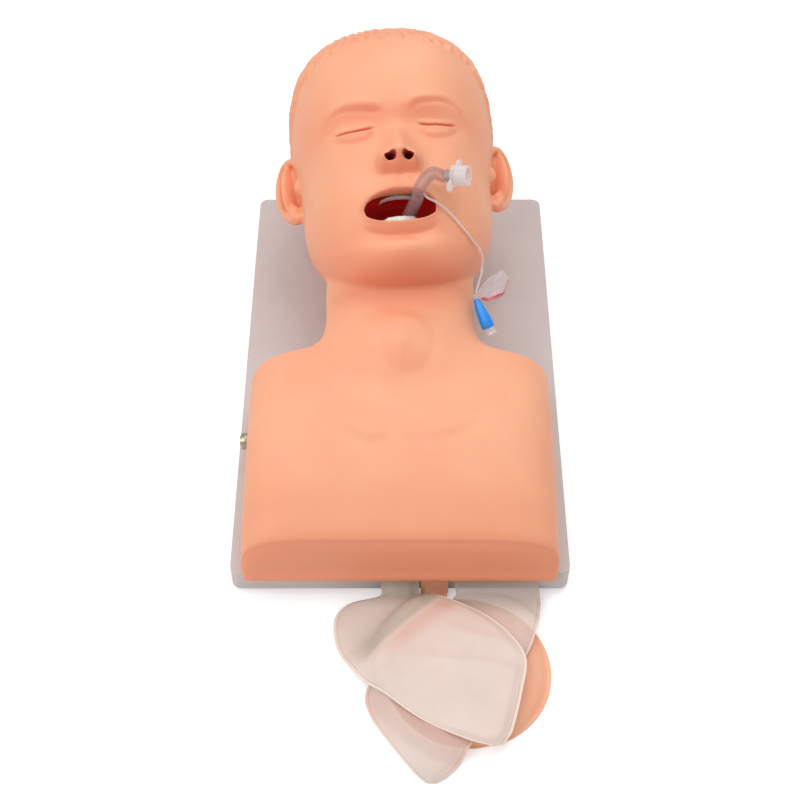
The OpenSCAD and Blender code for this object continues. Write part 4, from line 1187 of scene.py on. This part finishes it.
@dataclass
class FilmBag:
    """A bag of two welded films, that lies on the table and on what is under it."""

    node: str
    rows: Sequence[tuple[Sequence[float], Sequence[float], Sequence[float]]]
    pile: "Pile"
    level: int
    rings: int = 150
    across: int = 64
    weld: float = 1.5

    def build(self, skin: ManikinSkin, material: bpy.types.Material, slot: str) -> bpy.types.Object:
        """Makes the bag.

        Args:
            skin: The skin, for the places over the board.
            material: The bag's finish.
            slot: The record's slot for it.

        Returns:
            The bag.
        """
        rows = along(np.array(self.rows, float), np.linspace(0, len(self.rows) - 1, self.rings))
        left, right, thick = rows[:, 0], rows[:, 1], rows[:, 2]
        width = np.linalg.norm(right - left, axis=1)[:, None]
        s = 0.5 - 0.5 * np.cos(np.linspace(0, math.pi, self.across))[None, :]
        edge = np.minimum(s, 1 - s) * width
        end = np.linspace(0, 1, self.rings)[:, None]
        flat = ease((edge - self.weld) / 7.0) * ease((0.99 - end) / 0.05)
        base = left[:, None, :] + (right - left)[:, None, :] * s[:, :, None]
        body = 0.16 + 0.84 * flat * np.sin(np.pi * s) ** 0.55
        lying = ease((-skin.overhang - 1 - base[:, :, 1]) / 6)
        plan = base[:, :, :2].reshape(-1, 2)
        floor = self.pile.height(plan, self.level).reshape(s.shape[1] and base.shape[:2])
        base[:, :, 2] = np.where(base[:, :, 1] < -skin.overhang - 1, np.maximum(base[:, :, 2], floor), base[:, :, 2])
        creases = self.pile.creases(plan, self.level).reshape(base.shape[:2]) * lying * flat
        top = base + thick[:, None, :] * body[:, :, None]
        top[:, :, 2] += creases
        bead = bell(edge - self.weld, 0.5) * lying
        top[:, :, 2] += 0.25 * bead
        ring = np.concatenate([base, top[:, ::-1]], axis=1)
        count = ring.shape[1]
        points = (ring.reshape(-1, 3) + [0, skin.front_y, 0]) * MM
        piece = face_outwards(mesh_piece(self.node + "_film", points, ring_faces(self.rings, count)))
        both = lambda values: np.concatenate([values, values[:, ::-1]], axis=1).ravel()
        skin.store(piece, "weld", both(np.clip(0.8 * bead + 0.4 * (edge < self.weld), 0, 1)))
        skin.store(piece, "fold", both(self.pile.tint(plan, self.level).reshape(base.shape[:2])))
        skin.store(piece, "blush", both(self.pile.blush(plan, self.level).reshape(base.shape[:2])))
        skin.store(piece, "rim", both(bell(edge - self.weld - 0.8, 0.45) * lying))
        smooth(piece, 50)
        return settle(piece, material, slot, self.node)


@dataclass
class Pile:
    """How the bags lie on each other, and the folds in them, in millimetres over the table."""

    stomach_at: tuple[float, float] = (48, -68)
    stomach_d: float = 116
    stomach_t: float = 9
    lung_t: float = 4.2

    def height(self, plan: np.ndarray, level: int) -> np.ndarray:
        """What a point of a bag lies on: level 0 on the table, 1 on the bladder, 2 on a lung bag too."""
        x, y = plan.T
        total = np.full(len(x), 0.3)
        if level > 0:
            gap = self.stomach_d / 2 + 17 - np.hypot(x - self.stomach_at[0], y - self.stomach_at[1])
            total += (self.stomach_t + 0.3) * ease(gap / 14)
        if level > 1:
            edge = np.where(y > -84, 32 + (y + 18) * 0.85, -24 - (y + 84) * 0.56)
            total += (self.lung_t + 0.9) * ease((x - edge + 44) / 22)
        return total

    def creases(self, plan: np.ndarray, level: int) -> np.ndarray:
        """Soft folds of a bag's upper film."""
        x, y = plan.T
        if level == 0:
            return np.zeros(len(x))
        soft = 0.7 * ripple(plan, 70, 20 + level)
        if level == 2:
            down, off = self.beside_fold(plan)
            fade = ease((down + 4) / 14) * ease((78 - down) / 22)
            soft = soft + fade * (1.9 * bell(off + 6, 5.0) - 1.5 * bell(off - 4, 4.5))
            soft = soft + 1.1 * bell(y + 0.10 * x + 66, 5) * ease((x + 10) / 30) + 0.9 * bell(y + 0.28 * x + 34, 6) * ease((x - 20) / 20)
        else:
            soft = soft + 1.0 * bell(x + 0.55 * y + 40, 6) * ease((-92 - y) / 14) - 0.8 * bell(x - 60, 9) * ease((-14 - y) / 10)
        return soft

    def tint(self, plan: np.ndarray, level: int) -> np.ndarray:
        """Where a film is darker, as painted shade: on the top bag beside its fold and near the shell, and on the lower
        bag near the shell; the lower bag also darkens towards its far end.
        """
        x, y = plan.T
        if level == 2:
            down, off = self.beside_fold(plan)
            return np.clip(0.75 * ease(off / 5) * ease((86 - down) / 30) * (0.35 + 0.65 * bell(off - 6, 16)) + 0.5 * ease((y + 22) / 12) * ease((off - 4) / 6), 0, 1)
        return 0.6 * ease((y + 30) / 14) + 0.4 * ease((-128 - y) / 24) if level else np.zeros(len(x))

    def blush(self, plan: np.ndarray, level: int) -> np.ndarray:
        """Where a film looks pinker: on the fold's crest, and under the edge of the bag on top, where the pink is
        painted shade.
        """
        x, y = plan.T
        if level == 2:
            down, off = self.beside_fold(plan)
            return np.clip(0.9 * bell(off + 7, 6) * ease((down + 8) / 10) * ease((70 - down) / 30), 0, 1)
        # painted shade on the lower bag, pinker near the top bag's edge
        shade = (x + 24) * -0.56 - (y + 84) * 0.83
        return 0.8 * bell(shade - 4, 13) * ease((-60 - y) / 20) if level else np.zeros(len(x))

    def beside_fold(self, plan: np.ndarray) -> tuple[np.ndarray, np.ndarray]:
        """How far down the top bag's diagonal fold a point lies, and how far to its upper left."""
        x, y = (plan - [28.6, -17.1]).T
        return -0.730 * x - 0.684 * y, -0.684 * x + 0.730 * y


def neck_rows(x: float, z: float, w: float, out_w: float, out_x: float, low: float, top: float = 24) -> list:
    """A bag's neck: off its outlet, down between the shell and the board, and out under the rim."""
    a, b = out_x - out_w / 2, out_x + out_w / 2
    film = -2.25
    return [
        ((x - 7, 14.7, top + z - 3.5), (x + 7, 14.7, top + z - 3.5), (0, 0, 7.5)),
        ((x - w / 2 + 3, 8, top + z - 10), (x + w / 2 - 3, 8, top + z - 10), (0, -1, 5)),
        ((a, 1.6, top + 7), (b, 1.6, top + 7), (0, film, 1.4)),
        ((a, -0.9, top - 1), (b, -0.9, top - 1), (0, film, 0)),
        ((a, -0.9, top - 8), (b, -0.9, top - 8), (0, film, 0)),
        ((a, -3, low + 2), (b, -3, low + 2), (0, -1.6, 1.2)),
    ]


@dataclass
class Bags:
    """The two lung bags and the stomach bladder."""

    pile: Pile = field(default_factory=Pile)

    def stomach_rows(self) -> list:
        """The bladder's neck and its round outline."""
        cx, cy = self.pile.stomach_at
        r, t = self.pile.stomach_d / 2, self.pile.stomach_t
        rows = neck_rows(26, 20, 18, 20, 25, 3) + [((15, -8.5, 0.4), (37, -8.5, 0.4), (0, 0, 0.4 * t))]
        for a in range(22, 177, 22):
            y, w = cy + r * math.cos(math.radians(a)), r * math.sin(math.radians(a))
            rows.append(((cx - w, y, 0.3), (cx + w, y, 0.3), (0, 0, t * (0.4 if a > 170 else 0.95))))
        return rows

    def build(self, skin: ManikinSkin) -> None:
        """Makes the three bags."""
        t = 5.5
        left = neck_rows(1, 30, 22, 28, 0, 10) + [
            ((-15, -10, 9), (16, -10, 9), (0, 0, 2.4)), ((-36, -15, 7), (34, -15, 9), (0, 0, 0.6 * t)),
            ((-46, -24, 4), (62, -30, 9), (0, 0, 0.9 * t)), ((-47, -38, 2), (80, -48, 9), (0, 0, t)),
            ((-42, -54, 1), (88, -66, 9), (0, 0, t)), ((-24, -79, 1), (84, -90, 9), (0, 0, t)),
            ((12, -110, 1), (79, -110, 4), (0, 0, 0.8 * t)), ((44, -126, 1), (75, -122, 2), (0, 0, 0.6 * t)),
            ((62, -131, 1), (70, -129, 1), (0, 0, 0.3 * t)),
        ]
        t = self.pile.lung_t
        right = neck_rows(66, 30, 26, 61, 70, 10) + [
            ((40, -10, 9), (101, -10, 8), (0, 0, 0.6 * t)), ((32, -18, 9), (101, -19, 7), (0, 0, 0.9 * t)),
            ((20, -34, 5), (98, -34, 5), (0, 0, t)), ((4, -52, 3), (92, -53, 4), (0, 0, t)),
            ((-14, -68, 1), (80, -76, 3), (0, 0, t)), ((-24, -85, 1), (66, -100, 1), (0, 0, t)),
            ((-20, -103, 1), (52, -122, 1), (0, 0, 0.9 * t)), ((-6, -124, 1), (40, -139, 1), (0, 0, 0.8 * t)),
            ((7, -141, 1), (32, -147, 1), (0, 0, 0.7 * t)), ((15, -149.5, 1), (26, -151, 1), (0, 0, 0.5 * t)),
            ((19, -151.7, 1), (22.5, -152, 1), (0, 0, 0.3 * t)),
        ]
        tone, fold = (0.950, 0.875, 0.832), (0.74, 0.69, 0.62)
        top_film = LungFilm("lung_film_top", tone, fold, 0.74).make()
        low_film = LungFilm("lung_film_low", tone, fold, 0.50).make()
        bladder = Moulded("bladder_rubber", (0.985, 0.735, 0.600), (0.965, 0.690, 0.545), rough=0.42, grain=600, depth=0.0001).make()
        FilmBag("left_lung_bag", left, self.pile, 2).build(skin, top_film, "lung_film")
        FilmBag("right_lung_bag", right, self.pile, 1).build(skin, low_film, "lung_film")
        FilmBag("stomach_bladder", self.stomach_rows(), self.pile, 0, weld=1.2).build(skin, bladder, "bladder")


# ------------------------------------------------------------ the tracheal tube


@dataclass
class TrachealTube:
    """The tube with its connector, and the thin line with its balloon and valve."""

    skin: ManikinSkin
    tube_d: float = 9.6
    bore_d: float = 7.0
    line_d: float = 1.7
    line: tuple[tuple[float, float, float], ...] = (
        (17.5, 220.5, 164), (19.5, 220.5, 160.5), (23, 221, 157.5), (28, 221, 154), (34, 219, 149.5), (40, 217, 143.5),
        (44.5, 215, 138.5), (49, 213.5, 132.5), (53, 213, 126), (57, 213.5, 119), (60.5, 214, 112), (62, 213, 105.5),
        (62, 210, 100), (61.5, 206, 96), (60, 202, 92.5), (58.5, 198, 89), (57.5, 195, 86),
    )

    def line_piece(self) -> tuple[bpy.types.Object, np.ndarray]:
        """The thin inflation line, as a curve of one open spline."""
        route = self.skin.to_row(smooth_path(self.line, 90))
        curve = bpy.data.curves.new("inflation_line", "CURVE")
        curve.dimensions = "3D"
        curve.bevel_depth, curve.bevel_resolution = self.line_d / 2 * MM, 4
        curve.use_fill_caps = True
        spline = curve.splines.new("POLY")
        spline.points.add(len(route) - 1)
        for point, place in zip(spline.points, route):
            point.co = (*place, 1)
        piece = bpy.data.objects.new("inflation_line", curve)
        bpy.context.scene.collection.objects.link(piece)
        return piece, route

    def tube(self) -> bpy.types.Object:
        """The curved tube, with its wall and its bore."""
        way = np.array([0.92, -0.28, 0.26])
        way /= np.linalg.norm(way)
        end = np.array([38.5, 233, 170])
        outside = [tuple(end - d * way) for d in (0, 4, 8)] + [(25, 235, 171), (20, 230, 172), (15.5, 224.5, 169), (12.5, 219.5, 160.5)]
        inside = [(6, -90, 68), (4, -92, 58), (2, -96, 48), (0.6, -102, 40.5), (0, -110, 36), (0, -122, 34), (0, -160, 34), (0, -212, 34)]
        inside = np.array(inside, float) @ self.skin.turn.T + np.array(self.skin.skull_at)
        path = smooth_path(np.concatenate([outside, inside]), 150)
        outer = sweep(path, np.full(150, self.tube_d / 2), 36)
        inner = sweep(path, np.full(150, self.bore_d / 2), 36)
        points = self.skin.to_row(np.concatenate([outer, inner]))
        faces = ring_faces(150, 36, False)
        faces += [[i + 5400 for i in f][::-1] for f in ring_faces(150, 36, False)]
        for j in range(36):
            k = (j + 1) % 36
            faces.append([j, 5400 + j, 5400 + k, k])
            faces.append([149 * 36 + j, 149 * 36 + k, 5400 + 149 * 36 + k, 5400 + 149 * 36 + j])
        piece = face_outwards(mesh_piece("curved_tube", points, faces))
        smooth(piece, 60)
        tint = ClearPlastic("tube_clear", (0.74, 0.58, 0.58), 0.10, rim=0.62, rough=0.12, haze=0.10).make()
        return settle(piece, tint, "clear_plastic", "tracheal_tube")

    def balloon(self) -> bpy.types.Object:
        """The flat clear balloon, crumpled, with a welded edge."""
        low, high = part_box("pilot_balloon")
        piece = copy_of("pilot_balloon", "clear_balloon")
        remesh(piece, 0.0005)
        points = points_of(piece)
        normals = np.zeros(len(piece.data.vertices) * 3)
        piece.data.vertices.foreach_get("normal", normals)
        dent = -0.55 + 0.45 * ripple(points / MM, 9, 4)
        middle = (points[:, 0] - low.x) / (high.x - low.x)
        dent = dent * ease((middle - 0.15) / 0.2)
        move_points(piece, points + normals.reshape(-1, 3) * (dent * MM)[:, None])
        modify(piece, "SMOOTH", factor=0.5, iterations=2)
        smooth(piece, 60)
        self.skin.store(piece, "stripe", self.stripe(points_of(piece)))
        clear = ClearPlastic("balloon_clear", (0.90, 0.87, 0.89), 0.22, rim=0.5, rough=0.12, haze=0.14, stripe=(0.80, 0.16, 0.16)).make()
        return settle(piece, clear, "clear_plastic", "pilot_balloon")

    def stripe(self, points: np.ndarray) -> np.ndarray:
        """Where the red line runs along the balloon's lower edge, from 0 to 1."""
        low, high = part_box("pilot_balloon")
        across = (points[:, 0] - low.x) / MM
        edge = np.zeros(len(points))
        for place in np.unique(np.round(across)):
            here = np.abs(across - place) < 0.75
            edge[here] = points[here, 1].min()
        return np.clip(bell((points[:, 1] - edge) / MM - 0.8, 0.9) * ease((across - 4) / 3), 0, 1)

    def from_cad(self, node: str, width: float, material: bpy.types.Material, slot: str) -> bpy.types.Object:
        """A clean copy of a CAD node with rounded edges."""
        piece = soften(copy_of(node, node + "_finished"), width * MM, 30, 2)
        return settle(piece, material, slot, node)

    def build(self) -> None:
        """Makes the tube and the pieces on its line."""
        line, route = self.line_piece()
        self.tube()
        balloon = self.balloon()
        milky = ClearPlastic("connector_milky", (0.965, 0.95, 0.955), 0.30, rim=0.45, rough=0.18, haze=0.14).make()
        self.from_cad("tube_connector", 0.3, milky, "connector_plastic")
        blue = Moulded("valve_blue", (0.01, 0.58, 0.96), (0.01, 0.50, 0.90), rough=0.32, grain=1400, depth=0.00004, coat=0.3).make()
        housing = self.from_cad("valve_housing", 0.25, blue, "valve_blue")
        port = self.from_cad("valve_port", 0.2, milky, "connector_plastic")
        clear = ClearPlastic("line_clear", (0.95, 0.91, 0.91), 0.55, rim=0.4, rough=0.16).make()
        settle(line, clear, "clear_plastic", "pilot_line") if False else self.settle_line(line, clear)
        paint(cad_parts["valve_plunger"], blue)
        paint(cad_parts["valve_seal"], Moulded("seal_silicone", (0.92, 0.92, 0.90), (0.88, 0.88, 0.86)).make())

    def settle_line(self, line: bpy.types.Object, material: bpy.types.Material) -> None:
        """Finishes the line, which is a curve."""
        line.data.materials.append(material)
        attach(line, BODY)
        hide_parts("pilot_line")
        log.info("made %s for pilot_line", line.name)


# -------------------------------------------------------------- the base board


@dataclass
class BaseBoard:
    """The board, its feet, rails and screws, and the metal socket in the side wall."""

    edge: float = 1.6

    def build(self) -> None:
        """Finishes the board and what is fixed to it."""
        tray = Moulded("board_plastic", (0.825, 0.788, 0.780), (0.805, 0.765, 0.757), rough=0.55, grain=1100, depth=0.00012).make()
        board = copy_of("base_board", "rounded_board")
        soften(board, self.edge * MM, 40, 4)
        settle(board, tray, "board", "base_board")
        rubber = Moulded("foot_rubber", (0.16, 0.16, 0.165), (0.12, 0.12, 0.125), rough=0.7, grain=1500)
        steel = BrushedMetal("screw_steel", (0.78, 0.77, 0.75), (0.66, 0.65, 0.63))
        nickel = BrushedMetal("socket_nickel", (0.80, 0.76, 0.68), (0.62, 0.57, 0.48), 0.34).make()
        white = Moulded("rail_white", (0.92, 0.92, 0.90), (0.88, 0.88, 0.86))
        self.dress(rubber.make(), "board_feet", "socket_insulator")
        self.dress(steel.make(), "foot_screws", "rail_screws")
        self.dress(white.make(), "left_skin_rail", "right_skin_rail", "lung_connector", "lung_neck_ties", "stomach_neck_tie")
        for node in ("socket_barrel", "socket_nut", "socket_washer"):
            piece = soften(copy_of(node, node + "_turned"), 0.0003, 30, 2)
            settle(piece, nickel, "steel", node)

    def dress(self, material: bpy.types.Material, *nodes: str) -> None:
        """Gives CAD nodes a material."""
        for node in nodes:
            paint(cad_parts[node], material)


@dataclass
class Airway:
    """The pieces hidden in the neck and the torso."""

    def build(self) -> None:
        """Gives each hidden piece its material."""
        soft = Moulded("airway_soft", (0.92, 0.66, 0.56), (0.86, 0.58, 0.48), rough=0.5).make()
        ringed = Moulded("airway_ringed", (0.88, 0.85, 0.83), (0.82, 0.79, 0.77), rough=0.45).make()
        dark = Moulded("nasal_red", (0.45, 0.05, 0.06), (0.36, 0.03, 0.04), rough=0.45).make()
        cuff = ClearPlastic("cuff_clear", (0.85, 0.82, 0.86), 0.35).make()
        for node, material in {
            "larynx": soft, "gullet": soft, "left_bronchus": soft, "right_bronchus": soft,
            "windpipe": ringed, "nasal_channels": dark, "tube_cuff": cuff,
        }.items():
            paint(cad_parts[node], material)


# ------------------------------------------------------------------ the studio


@dataclass
class Studio:
    """The camera, the pale floor and the soft lights."""

    camera_at: tuple[float, float, float] = (0, -0.7558, 0.953)
    down: float = 50.3
    lens: float = 69.2

    def camera(self) -> None:
        """Sets the camera where the photograph's was."""
        data = bpy.data.cameras.new("camera")
        data.lens, data.sensor_width = self.lens, 36
        data.clip_start, data.clip_end = 0.05, 50
        camera = bpy.data.objects.new("camera", data)
        camera.location = self.camera_at
        camera.rotation_euler = (math.radians(90 - self.down), 0, 0)
        bpy.context.scene.collection.objects.link(camera)
        bpy.context.scene.camera = camera

    def lamp(self, name: str, at: tuple[float, float, float], size: float, watts: float, colour: Colour = (1, 1, 1)) -> None:
        """One soft square lamp, aimed at the manikin's chest."""
        data = bpy.data.lights.new(name, "AREA")
        data.shape, data.size, data.energy, data.color = "SQUARE", size, watts, colour
        lamp = bpy.data.objects.new(name, data)
        lamp.location = at
        lamp.rotation_euler = (Vector((0, 0, 0.1)) - Vector(at)).to_track_quat("-Z", "Y").to_euler()
        bpy.context.scene.collection.objects.link(lamp)

    def floor(self) -> None:
        """A pale floor, white to the camera apart from the object's shadow."""
        clear_selection()
        bpy.ops.mesh.primitive_plane_add(size=8, location=(0, 0, -0.0002))
        floor = bpy.context.object
        floor.name = "studio_floor"
        bpy.ops.object.transform_apply(location=True)
        r = Recipe("studio_white", Roughness=0.9)
        r.shader.inputs["Base Color"].default_value = (0.92, 0.92, 0.92, 1)
        seen = r.node("LightPath", "Is Camera Ray")
        glow = r.node("Emission", 0, None, Color=(1, 1, 1, 1), Strength=0.35)
        total = r.tree.nodes.new("ShaderNodeAddShader")
        r.tree.links.new(r.shader.outputs[0], total.inputs[0])
        r.tree.links.new(glow.socket, total.inputs[1])
        blend = r.tree.nodes.new("ShaderNodeMixShader")
        r.tree.links.new(seen.socket, blend.inputs[0])
        r.tree.links.new(r.shader.outputs[0], blend.inputs[1])
        r.tree.links.new(total.outputs[0], blend.inputs[2])
        r.tree.links.new(blend.outputs[0], r.tree.nodes["Material Output"].inputs[0])
        paint(floor, r.material)

    def world(self) -> None:
        """A pale, even surround, white to the camera."""
        world = bpy.data.worlds.new("studio_world")
        bpy.context.scene.world = world
        world.use_nodes = True
        tree = world.node_tree
        back = tree.nodes["Background"]
        back.inputs[0].default_value, back.inputs[1].default_value = (1, 1, 1, 1), 0.55
        white = tree.nodes.new("ShaderNodeBackground")
        white.inputs[0].default_value, white.inputs[1].default_value = (1, 1, 1, 1), 1.0
        path = tree.nodes.new("ShaderNodeLightPath")
        blend = tree.nodes.new("ShaderNodeMixShader")
        tree.links.new(path.outputs["Is Camera Ray"], blend.inputs[0])
        tree.links.new(back.outputs[0], blend.inputs[1])
        tree.links.new(white.outputs[0], blend.inputs[2])
        tree.links.new(blend.outputs[0], tree.nodes["World Output"].inputs[0])

    def build(self) -> None:
        """Sets up the camera, lights, floor and world."""
        self.camera()
        self.lamp("key", (0.35, 0.35, 1.8), 1.0, 9)
        self.lamp("fill", (-0.9, -0.6, 1.5), 1.3, 11.5)
        self.lamp("rim", (0.2, 1.4, 1.0), 0.8, 2)
        self.floor()
        self.world()
        bpy.context.scene.view_settings.view_transform = "Standard"


def main() -> None:
    """Builds and dresses the manikin, piece by piece."""
    logging.basicConfig(level=logging.INFO, format="%(name)s: %(message)s")
    Studio().build()
    skin = ManikinSkin()
    TrachealTube(skin).build()
    skin.build()
    Mouth(skin).build()
    Bags().build(skin)
    BaseBoard().build()
    Airway().build()


if __name__ == "__main__":
    main()
